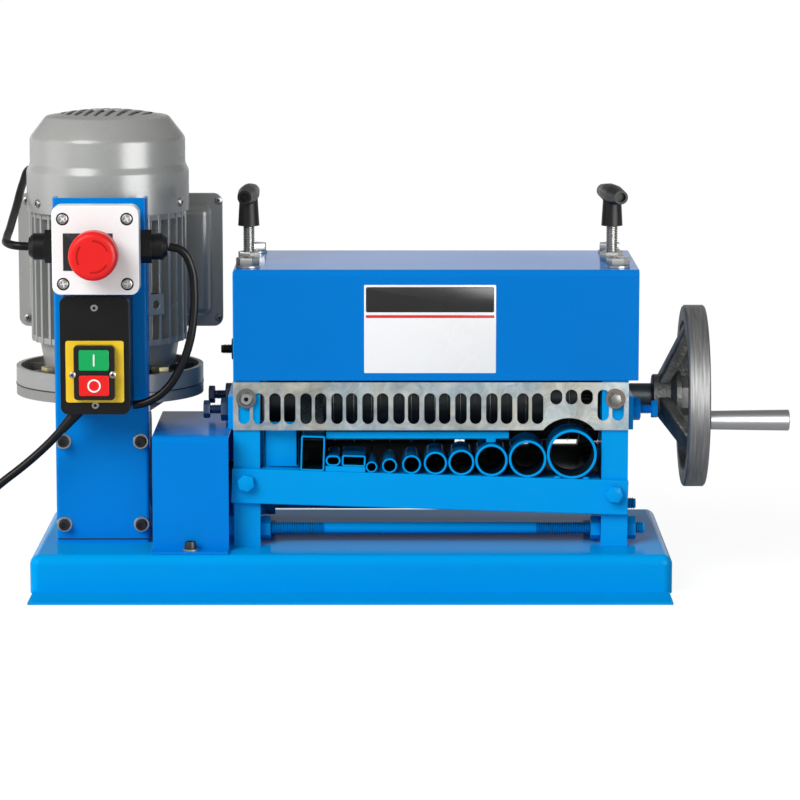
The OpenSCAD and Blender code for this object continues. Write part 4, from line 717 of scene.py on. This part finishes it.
for x, across, wall, shorter in round_tubes:
    along = x - rail_left
    up = across / 2 + seat
    middle = place(rail_left + along * math.cos(rail_tilt) + up * math.sin(rail_tilt), tube_front,
                   rail_top - along * math.sin(rail_tilt) + up * math.cos(rail_tilt))
    long = tube_length - shorter
    outside, inside, lip = across / 2, across / 2 - wall, 0.35
    old = set(tubes.faces)
    turned(tubes, [(outside, long), (outside, lip), (outside - lip, 0), (inside + lip, 0), (inside, lip),
                   (inside, long), (outside, long)], facing(middle, backwards), steps=64)
    # Faces inside the bore take the near-black finish and the barrel's sides the dark blue, both painted
    # shade.
    tubes.normal_update()
    for face in [face for face in tubes.faces if face not in old]:
        if (face.calc_center_median() - middle).xz.length * 1000 < inside:
            face.material_index = 1
        elif abs(face.normal.y) < 0.3:
            face.material_index = 2
bead_size = Matrix.Diagonal((3.2, 2.4, 1.3, 1))
for x in (171.5, 195):
    along = x - rail_left
    bead = Matrix.Translation(place(x, tube_front + 2.5, rail_top - along * math.sin(rail_tilt) + 0.6))
    bmesh.ops.create_icosphere(tubes, subdivisions=2, radius=0.001, matrix=bead @ bead_size)
new_piece("round_guide_tubes", tubes, [frame_blue, shaded_bore, shaded_barrel_blue], "blue_paint",
          "frame", "round_guide_tubes")
shield = bmesh.new()
shield_left, shield_right, shield_low, shield_high = -73.2, -44, 98.2, 135.6
shield_front, shield_sheet, shield_side, shield_tab = -60, 2, 18, 10
shield_middle, shield_tall = (shield_low + shield_high) / 2, shield_high - shield_low
lug_right, lug_front = shield_left + shield_sheet, shield_front + shield_tab - shield_sheet
shield_sheets = [
    (shield_right - shield_left, -shield_sheet, (shield_left + shield_right) / 2, shield_front, forwards),
    (shield_side, -shield_sheet, shield_right, shield_front + shield_side / 2, along_x),
    (shield_tab, 0, shield_left, shield_front + shield_tab / 2, along_x),
    (lug_right - left_inside, -shield_sheet, (left_inside + lug_right) / 2, lug_front, forwards),
]
for wide, under, x, y, way in shield_sheets:
    slab(shield, wide, shield_tall, under, under + shield_sheet, 0.9, 0.4,
         facing(place(x, y, shield_middle), way))
new_piece("side_shield", shield, [frame_blue], "blue_paint", "frame", "side_shield")
rail_bolts = bmesh.new()
for i, (x, z) in enumerate([(-87.35, 87.43), (218.5, 77.82)]):
    spot = facing(place(x, rail_front, z), forwards, 11 + 14 * i)
    washer(rail_bolts, 16, m8_hole, seat, m8_washer, spot)
    hexagon(rail_bolts, m8_across, m8_washer + seat, m8_washer + m8_head, spot, edge=0.8)
new_piece("rail_bolts", rail_bolts, [frame_blue], "blue_paint", "frame", "hex_bolts")

# Rollers, blades and gears
# Hardened steel feed wheels and thin disc blades on the upper shaft, a roller with grooves at the blades
# below, a pair of gears with spacers at the right end, steel blocks and bronze bushes round the shafts.
shaft_height, drive_height = 149, 83
knurl_low, knurl_high = place(-46, 0, 0)[0], place(-24, 0, 0)[0]
knurl_pitch = 0.0024
wheel_radius = 0.0373


def object_xyz(tree):
    """The three Object coordinates."""
    return wire(tree, "SeparateXYZ", {"Vector": wire(tree, "TexCoord").outputs["Object"]}).outputs


def about_shaft(tree):
    """The coordinates along the upper shaft, across it and above it."""
    x, y, z = object_xyz(tree)
    return x, calc(tree, "SUBTRACT", y, base_middle[1]), calc(tree, "SUBTRACT", z, shaft_height / 1000)


feed_steel, tree, shader = new_finish("feed_steel", 0.75, 0.5)
x, across, rise = about_shaft(tree)
around = calc(tree, "MULTIPLY", calc(tree, "ARCTAN2", across, rise), wheel_radius)
teeth = []
for way in (1, -1):
    slant = calc(tree, "MULTIPLY_ADD", x, way, around)
    teeth.append(calc(tree, "PINGPONG", slant, knurl_pitch / 2))
after = calc(tree, "GREATER_THAN", x, knurl_low)
before = calc(tree, "LESS_THAN", x, knurl_high)
knurl = calc(tree, "MULTIPLY", calc(tree, "MAXIMUM", *teeth), calc(tree, "MULTIPLY", after, before))
tooth = wire(tree, "Bump", {"Height": knurl, "Strength": 1.0, "Distance": 1.0})
# Knurl crests lighter and troughs dark: painted highlight and painted shade on the knurl.
crest_highlight = ramp(tree, knurl, knurl_pitch * 0.2, knurl_pitch * 0.45)
set_inputs(tree, shader, {
    "Base Color": mix_tones(tree, crest_highlight, (0.028, 0.032, 0.034, 1), (0.17, 0.24, 0.24, 1)),
    "Roughness": 0.3, "Normal": tooth.outputs["Normal"]})
blade_steel = plain_finish(
    "blade_steel", (0.6, 0.61, 0.62), (0.5, 0.51, 0.52), 900, 0.03, 0.2, 0.3, metallic=0.95)
plain_steel = plain_finish(
    "plain_steel", (0.3, 0.3, 0.3), (0.22, 0.22, 0.22), 600, 0.06, 0.28, 0.42, metallic=0.85)
# Near-black steel for the lower roller and the gear spacers: painted shade of the machine's dark inside.
dark_steel = plain_finish(
    "dark_steel", (0.03, 0.032, 0.034), (0.022, 0.023, 0.025), 600, 0.08, 0.3, 0.42, metallic=0.6)
bronze = plain_finish("bronze", (0.42, 0.24, 0.09), (0.34, 0.19, 0.07), 600, 0.06, 0.3, 0.42, metallic=0.9)
dress(feed_steel, 0.3, "feed_wheels")
dress(blade_steel, 0, "disc_blades")
shaft_steel = plain_finish(
    "shaft_steel", (0.05, 0.058, 0.062), (0.04, 0.046, 0.05), 600, 0.06, 0.34, 0.46, metallic=0.8)
dress(shaft_steel, 0.3, "upper_shaft", "lower_shaft", "output_shaft")
# Near-black gears: painted shade of the machine's dark inside.
gear_steel = plain_finish(
    "gear_steel", (0.01, 0.01, 0.011), (0.014, 0.014, 0.015), 600, 0.08, 0.4, 0.5, specular=0.15)
dress(gear_steel, 0.3, "upper_gear", "pinion_gear")
gear_right, spacer_bore = 203, 20.6
for name, height, outside in (("upper", shaft_height, 77), ("lower", drive_height, 52)):
    spacer = bmesh.new()
    spot = facing(place(0, 0, height), along_x)
    washer(spacer, outside, spacer_bore, gear_right + seat, right_inside - 0.5, spot)
    new_piece(name + "_spacer", spacer, [dark_steel], "dark_steel", name + "_rotor")
blade_places = (-15.4, 1.7, 16.7, 31.6, 49.8, 69.6, 91.1, 116, 146, 182.6)
wide_grooves = {91.1: 8.5, 146: 7, 182.6: 26}
blade_top, blade_foot = 0.62, 0.3
land_radius, blade_radius, groove_radius, roller_bore = 28.3, 27.4, 24.5, 20.5
roller_start, roller_stop = ((corner - base_middle)[0] * 1000 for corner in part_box("lower_roller"))
outline = [(roller_bore, roller_start), (land_radius, roller_start)]
for x in blade_places:
    top, foot, deep = blade_top, blade_foot, blade_radius
    if x in wide_grooves:
        top, foot, deep = wide_grooves[x] / 2, wide_grooves[x] / 2, groove_radius
    outline += [(land_radius, x - top), (deep, x - foot), (deep, x + foot), (land_radius, x + top)]
outline += [(land_radius, roller_stop), (roller_bore, roller_stop)]
roller = bmesh.new()
turned(roller, outline, facing(place(0, 0, drive_height), along_x), steps=64)
new_piece("lower_roller", roller, [dark_steel], "dark_steel", "lower_rotor", "lower_roller")
dress(plain_steel, 0.5, "shaft_coupling", "bearing_blocks")
dress(bronze, 0.2, "lower_bushes", "upper_bushes")

# Handwheel and crank
# Dished cast-iron wheel with three spokes and a turned bright rim, held by a large nut. The tapered crank
# handle is chrome-plated and turns on its stud.
rim_start, rim_full = 0.0752, 0.0764
cast_iron, tree, shader = new_finish("cast_iron", 0.75, 0.4)
skin = use_effect(tree, uneven, Colour=(0.065, 0.065, 0.063, 1), Second=(0.12, 0.12, 0.116, 1), Patches=60.0,
                  Grain=420.0, Least=0.36, Most=0.52)
x, across, rise = about_shaft(tree)
flat = wire(tree, "CombineXYZ", {"X": across, "Y": rise})
radius = wire(tree, "VectorMath", {0: flat.outputs[0]}, operation="LENGTH")
rim = ramp(tree, radius.outputs["Value"], rim_start, rim_full)
lathe = wire(tree, "CombineXYZ", {"X": x, "Y": calc(tree, "ARCTAN2", across, rise)})
stretch = wire(tree, "VectorMath", {0: lathe.outputs[0], 1: (900, 2.2, 1)}, operation="MULTIPLY")
marks = wire(tree, "TexNoise", {"Vector": stretch.outputs[0], "Scale": 1.0, "Detail": 4.0})
bright = ramp(tree, marks.outputs["Fac"], 0.3, 0.7, 0.11, 0.25)
gloss = wire(tree, "Mix", {0: rim, 2: skin.outputs["Roughness"], 3: 0.42})
pits = wire(tree, "Bump", {
    "Height": skin.outputs["Height"], "Strength": ramp(tree, rim, 0, 1, 0.7, 0.05), "Distance": 0.0009})
set_inputs(tree, shader, {
    "Base Color": mix_tones(tree, rim, skin.outputs["Colour"], bright),
    "Roughness": gloss.outputs[0], "Normal": pits.outputs["Normal"]})
hub_left, hub_right, hub_radius, bore_radius = 254, 278, 18.25, 10.1
rim_left, rim_right, rim_inside, rim_outside = 280, 298, 63.5, 77
rim_edge = 1.2
wheel = bmesh.new()
wheel_spot = facing(place(0, 0, shaft_height), along_x)
turned(wheel, [
    (rim_inside, rim_left + rim_edge), (rim_inside + rim_edge, rim_left), (rim_outside - rim_edge, rim_left),
    (rim_outside, rim_left + rim_edge), (rim_outside, rim_right - rim_edge),
    (rim_outside - rim_edge, rim_right), (rim_inside + rim_edge, rim_right),
    (rim_inside, rim_right - rim_edge), (rim_inside, rim_left + rim_edge),
], wheel_spot, steps=96)
turned(wheel, [
    (bore_radius, hub_left), (hub_radius - 1, hub_left), (hub_radius, hub_left + 1),
    (hub_radius, hub_right - 9), (hub_radius + 4, hub_right - 4), (hub_radius + 3, hub_right),
    (bore_radius, hub_right), (bore_radius, hub_left),
], wheel_spot, steps=48)
spoke_root, spoke_thick = 13, 11
spoke_foot_width, spoke_end_width = 25, 19
for spoke_angle in (-37, 83, 203):
    old = set(wheel.verts)
    cosine, sine = math.cos(math.radians(spoke_angle)), math.sin(math.radians(spoke_angle))
    outline = chain(wheel, [
        (hub_left + 4, spoke_root, 0), (hub_left + 4 + spoke_thick, spoke_root, 0),
        (rim_left + 3 + spoke_thick, rim_inside + 2, 0), (rim_left + 3, rim_inside + 2, 0)], closed=True)[1]
    flank = bmesh.ops.contextual_create(wheel, geom=outline)["faces"]
    other = bmesh.ops.extrude_face_region(wheel, geom=flank, use_keep_orig=True)["geom"]
    far_side = set(only_verts(other))
    for v in added_verts(wheel, old):
        half = (spoke_foot_width if v.co.y < hub_radius else spoke_end_width) / 2
        v.co.z = half if v in far_side else -half
    corners = [e for e in wheel.edges if e.verts[0] not in old]
    bmesh.ops.bevel(wheel, geom=corners, offset=2.2, segments=3, profile=0.5, affect="EDGES", material=-1)
    aim = Matrix(((1, 0, 0), (0, -cosine, -sine), (0, sine, -cosine))).to_4x4()
    settle(wheel, old, Matrix.Translation(place(0, 0, shaft_height)) @ aim @ Matrix.Scale(0.001, 4))
crank_low, crank_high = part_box("crank_stud")
crank_axis = Vector((base_middle[0], (crank_low[1] + crank_high[1]) / 2, (crank_low[2] + crank_high[2]) / 2))
stud_bore, boss_left, boss_right = 5.1, rim_left + 5, rim_right + 0.4
turned(wheel, [(stud_bore, boss_left), (10, boss_left), (10, rim_right), (9.4, boss_right),
               (stud_bore, boss_right), (stud_bore, boss_left)], facing(crank_axis, along_x))
new_piece("handwheel", wheel, [cast_iron], "cast_iron", "upper_rotor", "handwheel")
dress(plain_steel, 0.6, "handwheel_nut")
chrome = plain_finish("chrome", (0.4, 0.4, 0.405), (0.34, 0.34, 0.345), 400, 0.02, 0.26, 0.36, metallic=1.0)
dress(chrome, 0.4, "crank_stud")
grip_start, grip_end = rim_right + 0.9, (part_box("crank_grip")[1] - base_middle)[0] * 1000
grip = bmesh.new()
grip_bore = 7.3
turned(grip, [
    (grip_bore, grip_start), (7.8, grip_start), (8.75, grip_end - 0.7), (8.1, grip_end), (0, grip_end),
    (0, grip_end - 6), (grip_bore, grip_end - 6), (grip_bore, grip_start),
], facing(crank_axis, along_x), steps=64)
new_piece("crank_grip", grip, [chrome], "bright_chrome", "crank", "crank_grip")

# Keeper bars and stud
# Bars over the bearing windows, each with two painted bolts and lock nuts, the left ones a darker navy as
# painted shade and the right ones blue, and a black stud with a thick washer high on the left plate.
dress(frame_blue, 0.5, "keeper_bars")
# Navy is a darker copy of the bolts' blue paint, used on the left side as painted shade.
shaded_navy_steel = plain_finish("shaded_navy_steel", (0.004, 0.03, 0.09), (0.006, 0.04, 0.11), 500, 0.08, 0.3, 0.42)
keeper_height = 143.8
keeper_bolts = bmesh.new()
for x, way, shade_tone in ((left_face, -1, 0), (right_face, 1, 1)):
    for y in (-42, 42):
        spot = facing(place(x, y, keeper_height), (way, 0, 0), 10)
        threaded(keeper_bolts, 4, 5, 21, 1.25, spot, shade_tone)
        hexagon(keeper_bolts, nut_across, 5.06, 11.5, spot, shade_tone, hole=7.6, edge=0.8)
        hexagon(keeper_bolts, m8_across, 20.5, 26, spot, shade_tone, edge=0.6)
new_piece("keeper_bolts", keeper_bolts, [shaded_navy_steel, column_blue], "blue_paint",
          "frame", "hex_bolts", "hex_nuts")
stud = bmesh.new()
spot = facing(place(left_face, 0, 189), (-1, 0, 0))
washer(stud, 18, m8_hole, seat, 4, spot)
threaded(stud, 4, -4, 13, 1.25, spot)
new_piece("plate_stud", stud, [black_moulding], "black_plastic", "frame", "side_stud")

# Coupling cover
# A folded sheet cover over the shaft coupling. Its foot is held to the base by one black socket screw
# with a bright washer.
dress(column_blue, 0.7, "coupling_cover")
black_oxide = plain_finish(
    "black_oxide", (0.014, 0.014, 0.015), (0.022, 0.022, 0.023), 700, 0.08, 0.3, 0.42, metallic=0.4)
m6_radius, m6_head, m6_washer = 5, 6, 1.6
socket_heads = bmesh.new()


def socket_screw(at, towards, turn):
    """A black M6 socket head on a bright washer."""
    spot = facing(at, towards, turn)
    washer(socket_heads, 13, 6.6, seat, m6_washer, spot, 1)
    driven_head(socket_heads, m6_radius, m6_washer + seat, m6_washer + m6_head, socket(5), 3, spot,
                crown=0.86)


socket_screw(place(-132.9, -97, 34), upwards, 5)

# Control column and gearbox
# A tall column of bent sheet stands in front of the drive and carries the switches, with a thin black strip
# at its foot as a painted shadow of the gap to the base. Behind it is a worm gearbox cast in light alloy.
# Four socket screws hold the column to it.
dress(column_blue, 0.8, "control_column")
column_middle, column_front = -208.5, -52
column_half_pitch, column_half_rise = 32.25, 35.25
for i, (x, z) in enumerate([(-1, -1), (-1, 1), (1, -1), (1, 1)]):
    at = place(column_middle + x * column_half_pitch, column_front, drive_height + z * column_half_rise)
    socket_screw(at, forwards, 9 + 17 * i)
new_piece("socket_heads", socket_heads, [black_oxide, zinc], "dark_steel", "frame", "socket_screws")
# A thin black strip at the column's foot: a painted shadow of the gap to the base.
foot_shadow_strip = bmesh.new()
slab(foot_shadow_strip, 76, 1.1, 0, 0.15, 0.2, 0.05, facing(place(column_middle, column_front, 35.2), forwards))
new_piece("column_foot_shadow_strip", foot_shadow_strip, [panel_black], "black_rubber", "frame")
gearbox_alloy = plain_finish(
    "gearbox_alloy", (0.3, 0.3, 0.285), (0.24, 0.24, 0.23), 350, 0.25, 0.4, 0.55, metallic=0.2)
dress(gearbox_alloy, 1.0, "gearbox_housing")

# Motor
# A finned upright motor in grey satin enamel, on a gasket and a dished flange with yellow-passivated bolts,
# under a pressed fan cowl with a domed grille over gauze, held by three cross-head screws.
motor_depth = 40
light_grey, other_grey = (0.32, 0.325, 0.31), (0.312, 0.317, 0.302)
motor_grey = plain_finish("motor_grey", light_grey, other_grey, 300, 0.05, 0.26, 0.29, specular=0.8)
dress(motor_grey, 0.6, "motor_body")
# The inside of the flange's dish, within this radius and below this height, is painted near-black as painted
# shade.
dish_radius, dish_top = 0.0755, 0.1712
flange_grey, tree, shader = new_finish("flange_grey", 0.0, 0.5)
skin = use_effect(tree, uneven, Colour=(*light_grey, 1), Second=(*other_grey, 1),
                  Grain=300.0, Least=0.26, Most=0.34)
where = wire(tree, "TexCoord").outputs["Object"]
from_axis = wire(tree, "VectorMath", {
    0: where, 1: place(column_middle, motor_depth, 0)}, operation="SUBTRACT").outputs[0]
height = wire(tree, "SeparateXYZ", {"Vector": from_axis}).outputs["Z"]
flat = wire(tree, "VectorMath", {0: from_axis, 1: (1, 1, 0)}, operation="MULTIPLY")
radius = wire(tree, "VectorMath", {0: flat.outputs[0]}, operation="LENGTH")
within = calc(tree, "LESS_THAN", radius.outputs["Value"], dish_radius)
dish_shade = calc(tree, "MULTIPLY", within, calc(tree, "LESS_THAN", height, dish_top))
set_inputs(tree, shader, {
    "Base Color": mix_tones(tree, dish_shade, skin.outputs["Colour"], (0.06, 0.06, 0.058, 1)),
    "Roughness": skin.outputs["Roughness"]})
dress(flange_grey, 0.6, "motor_flange")
cowl_low, cowl_top = 304.02, 384
skirt_top, step_top, shoulder = 339, 343, 366
skirt_radius, upper_radius, top_radius, grille_radius = 69, 66, 52, 48.5
sheet = 1.5
cowl = bmesh.new()
upright = facing(place(column_middle, motor_depth, 0), upwards)
turned(cowl, [
    (skirt_radius, cowl_low), (skirt_radius, skirt_top - 2), (skirt_radius - 0.5, skirt_top),
    (upper_radius + 0.5, step_top), (upper_radius, step_top + 2), (upper_radius, shoulder - 2),
    (upper_radius - 0.5, shoulder), (upper_radius - 1.6, shoulder + 1.9), (top_radius + 1.3, cowl_top - 1.7),
    (top_radius, cowl_top - 0.5), (top_radius - 1.6, cowl_top), (grille_radius, cowl_top),
    (grille_radius, cowl_top - sheet), (top_radius - 1, cowl_top - sheet),
    (upper_radius - sheet - 1, shoulder), (upper_radius - sheet, step_top), (skirt_radius - sheet, skirt_top),
    (skirt_radius - sheet, cowl_low), (skirt_radius, cowl_low),
], upright, steps=96)
bar_pitch, bar_width = 9.2, 3.7
slot_radius = 39
grille_turn = -9.4
across_grille = facing(place(column_middle, motor_depth, 0), upwards, grille_turn)
grille_rise = 5.5
bar_steps = 16


def grille_height(radius):
    """How far the domed middle of the cowl stands above its rim."""
    return grille_rise * max(0, 1 - (radius / grille_radius) ** 2)


dome = [(radius, cowl_top + grille_height(radius)) for radius in (grille_radius + 0.2, 45, 42, slot_radius)]
under = [(radius, height - sheet) for radius, height in reversed(dome)]
turned(cowl, [*dome, *under, dome[0]], upright, steps=96)
gauze_depth = 2.2
turned(cowl, [(radius, cowl_top + grille_height(radius) - gauze_depth) for radius in (0, 14, 26, 34, 41)],
       upright, 1, 64)
for k in range(-4, 4):
    offset = (k + 0.5) * bar_pitch
    half = math.sqrt((slot_radius + 1) ** 2 - offset ** 2)
    old = set(cowl.verts)
    line = chain(cowl, [
        (offset - bar_width / 2, half * (2 * i / bar_steps - 1), cowl_top - 0.05)
        for i in range(bar_steps + 1)])[1]
    side = bmesh.ops.extrude_edge_only(cowl, edges=line)["geom"]
    bmesh.ops.translate(cowl, vec=(bar_width, 0, 0), verts=only_verts(side))
    for v in added_verts(cowl, old):
        v.co.z += grille_height(v.co.xy.length)
    strip = [face for face in cowl.faces if face.verts[0] not in old]
    under = bmesh.ops.extrude_face_region(cowl, geom=strip, use_keep_orig=True)["geom"]
    bmesh.ops.translate(cowl, vec=(0, 0, -sheet), verts=only_verts(under))
    settle(cowl, old, across_grille)
hub_top = cowl_top + grille_rise - 0.4
slab(cowl, 3 * bar_pitch, 6, hub_top - sheet, hub_top, 0.5, 0.3, across_grille)
gauze = plain_finish("gauze", (0.42, 0.425, 0.41), (0.38, 0.385, 0.37), 900, 0.3, 0.5, 0.6, specular=0.1)
new_piece("fan_cowl", cowl, [motor_grey, gauze], "motor_paint", "frame", "fan_cowl")
dress(black_moulding, 0, "motor_rotor")
yellow_zinc = plain_finish(
    "yellow_zinc", (0.56, 0.46, 0.22), (0.45, 0.4, 0.25), 600, 0.05, 0.22, 0.34, metallic=0.85)
flange_bolts = bmesh.new()
bolt_circle, bolt_seat = 65, 162
for i in range(4):
    turn = math.radians(45 + 90 * i)
    x, y = bolt_circle * math.cos(turn), bolt_circle * math.sin(turn)
    at = place(column_middle + x, motor_depth + y, bolt_seat)
    spot = facing(at, upwards, 20 * i)
    washer(flange_bolts, 17, 9.6, seat, m8_washer, spot)
    washer(flange_bolts, 13.5, 9.2, m8_washer + seat, 5.5, spot)
    hexagon(flange_bolts, 14.5, 5.5 + seat, 13, spot, edge=0.6)
new_piece("flange_bolts", flange_bolts, [yellow_zinc], "zinc_plate", "frame", "hex_bolts")
gasket_inside, gasket_outside, gasket_low, gasket_top = 75, 80.4, 155.55, 156.45
gasket = bmesh.new()
turned(gasket, [(gasket_inside, gasket_low), (gasket_outside, gasket_low), (gasket_outside, gasket_top),
                (gasket_inside, gasket_top), (gasket_inside, gasket_low)], upright, steps=128)
new_piece("flange_gasket", gasket, [black_oxide], "black_rubber", "frame")
cowl_screws = bmesh.new()
for turn in (-54, 66, 186):
    outwards = (math.sin(math.radians(turn)), -math.cos(math.radians(turn)), 0)
    at = place(column_middle, motor_depth, 312.5) + Vector(outwards) * skirt_radius / 1000
    driven_head(cowl_screws, 3.6, -0.3, 2.2, cross(2), 1.3, facing(at, outwards, 30), shade=1)
new_piece("cowl_screws", cowl_screws, [stainless, shaded_recess], "zinc_plate", "frame")

# Capacitor box
# A wide box on the motor's back, painted like it, with a black lid behind and bright corner screws.
dress(motor_grey, 1.0, "capacitor_box")
dress(black_moulding, 1.0, "capacitor_lid")
box_middle, box_height = -202.5, 252
box_screws = bmesh.new()
for x in (-1, 1):
    for z in (-1, 1):
        at = place(box_middle + 84 * x, 119.8, box_height + 51.7 * z)
        driven_head(box_screws, 3.4, -0.2, 1.8, cross(1.9), 1.2, facing(at, forwards, 25 * x), shade=1)
new_piece("box_screws", box_screws, [stainless, shaded_recess], "zinc_plate", "frame")

# Emergency stop
# A hollow white moulded box with a red mushroom head on a black collar, four plated lid screws in thin dark
# rings of painted shade, a plain black plate behind the head and a black gland on each side.
white_moulding = plain_finish(
    "white_moulding", (0.96, 0.96, 0.96), (0.94, 0.94, 0.945), 500, 0.03, 0.24, 0.32, specular=0.3)
red_moulding = plain_finish(
    "red_moulding", (0.86, 0.012, 0.01), (0.82, 0.01, 0.009), 700, 0.04, 0.3, 0.4, specular=0.25)
dress(white_moulding, 1.2, "estop_lid")
stop_box = bmesh.new()
box_side, box_deep = 62, 37.9
gland_depth, gland_height, neck_long = -77.5, 284.5, 8
box_spot = facing(place(-207.5, column_front, gland_height), forwards)
slab(stop_box, box_side, box_side, seat, box_deep, 6, 0.6, box_spot)
stop_box.normal_update()
mouth = max(stop_box.faces, key=lambda face: face.calc_area() * (face.normal.y < -0.9))
box_wall, pocket_deep = 0.003, 0.034
bmesh.ops.inset_region(stop_box, faces=[mouth], thickness=box_wall)
floor_face = bmesh.ops.extrude_discrete_faces(stop_box, faces=[mouth])["faces"][0]
bmesh.ops.translate(stop_box, vec=(0, pocket_deep, 0), verts=floor_face.verts)
for x in (-244.5, -178.5):
    spot = facing(place(x, gland_depth, gland_height), along_x)
    turned(stop_box, [(0, 0), (8, 0), (8, neck_long), (0, neck_long)], spot, 1)
new_piece("stop_box", stop_box, [white_moulding, black_moulding], "white_plastic", "frame", "estop_box")
dress(black_moulding, 0.5, "estop_collar", "estop_stem", "cable_glands")
dress(red_moulding, 0.8, "mushroom_head")
stop_middle, stop_height, lid_front = -207.9, 283.5, -108
lid_screws = bmesh.new()
for i, (x, z) in enumerate([(-1, -1), (-1, 1), (1, -1), (1, 1)]):
    at = place(stop_middle + 26.1 * x, lid_front, stop_height + 26.6 * z)
    spot = facing(at, forwards, 10 + 37 * i)
    washer(lid_screws, 10.4, 8.2, seat, 0.12, spot, 1)
    driven_head(lid_screws, 4.3, -0.5, 0.6, cross(3), 1.2, spot, shade=1, crown=0.78)
new_piece("lid_screws", lid_screws, [stainless, shaded_recess], "bright_chrome", "frame")
plate = bmesh.new()
slab(plate, 40.6, 30.7, seat, 0.25, 0.4, 0.05, facing(place(-213.6, lid_front, 283.1), forwards))
new_piece("stop_plate", plate, [panel_black], "black_plastic", "frame")
head_middle, head_height, head_front = -207.5, 282.5, -138
arcs = bmesh.new()
head_spot = facing(place(head_middle, head_front, head_height), forwards)
arc_outline = [(12.2, 0, -0.1), (12.2, 0, 0.35), (13.6, 0, 0.35), (13.6, 0, -0.1)]
for start in (20, 140, 260):
    old = set(arcs.verts)
    spun(arcs, arc_outline, math.radians(70), 14, closed=True)
    settle(arcs, old, head_spot @ Matrix.Rotation(math.radians(start), 4, "Z"))
# Darker red for the raised arcs on the mushroom head: painted shade giving them a recessed look.
shaded_red = plain_finish(
    "shaded_red", (0.5, 0.006, 0.006), (0.45, 0.005, 0.005), 700, 0.04, 0.3, 0.4, specular=0.2)
new_piece("stop_head_arcs", arcs, [shaded_red], "red_plastic", "estop_head")

# Push-button switch
# A black moulded box with a yellow plate, a dark bezel, two buttons marked by a bar and a ring, and small
# screws on yellow bosses.
yellow_plate = plain_finish("yellow_plate", (0.93, 0.63, 0.012), (0.92, 0.57, 0.008), 500, 0.04, 0.25, 0.34)
bezel_black = plain_finish(
    "bezel_black", (0.008, 0.006, 0.006), (0.013, 0.01, 0.009), 600, 0.06, 0.22, 0.32, specular=0.3)
green_moulding = plain_finish(
    "green_moulding", (0.0, 0.4, 0.1), (0.0, 0.37, 0.09), 700, 0.04, 0.25, 0.34, specular=0.3)
dress(black_moulding, 1.2, "switch_box")
dress(yellow_plate, 0.4, "switch_plate")
dress(bezel_black, 0.8, "switch_bezel")
dress(green_moulding, 0.5, "start_button")
dress(red_moulding, 0.5, "stop_button")
switch_middle, box_front, plate_front, button_front = -210.2, -95, -96.5, -105
switch_screws = bmesh.new()
for z in (235.7, 155):
    at = place(switch_middle, box_front, z)
    driven_head(switch_screws, 3.2, -0.4, 0.9, socket(2.6), 1.0, facing(at, forwards), shade=1, crown=0.8)
boss_high = 7.6
for x in (-227.9, -194.8):
    spot = facing(place(x, plate_front, 181.6), forwards, 20)
    turned(switch_screws, [(0, seat), (2.9, seat), (2.9, boss_high), (0, boss_high)], spot, 2)
    driven_head(switch_screws, 2.8, boss_high + seat, boss_high + 1.7, cross(1.6), 1.0, spot, shade=1)
new_piece("switch_screws", switch_screws, [stainless, shaded_recess, yellow_plate], "zinc_plate", "frame")
mark_thick = 0.25
start_mark = bmesh.new()
mark_spot = facing(place(switch_middle, button_front, 193.6), forwards)
slab(start_mark, 1.3, 10, 0, mark_thick, 0.5, 0.08, mark_spot)
new_piece("start_mark", start_mark, [white_moulding], "white_plastic", "start")
stop_mark = bmesh.new()
washer(stop_mark, 11, 8.4, 0, mark_thick, facing(place(switch_middle, button_front, 172.6), forwards))
new_piece("stop_mark", stop_mark, [white_moulding], "white_plastic", "stop")

# Plug
# A moulded black plug with plated pins, on the end of the mains lead.
pin_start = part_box("mains_plug")[1][1] - 0.0195
plug_finish, tree, shader = new_finish("plug_finish")
pin = calc(tree, "GREATER_THAN", object_xyz(tree)[1], pin_start)
set_inputs(tree, shader, {
    "Base Color": mix_tones(tree, pin, (0.012, 0.012, 0.013, 1), (0.6, 0.58, 0.5, 1)),
    "Metallic": pin, "Roughness": 0.32})
dress(plug_finish, 0.6, "mains_plug")

bpy.context.scene.view_settings.view_transform = "Standard"
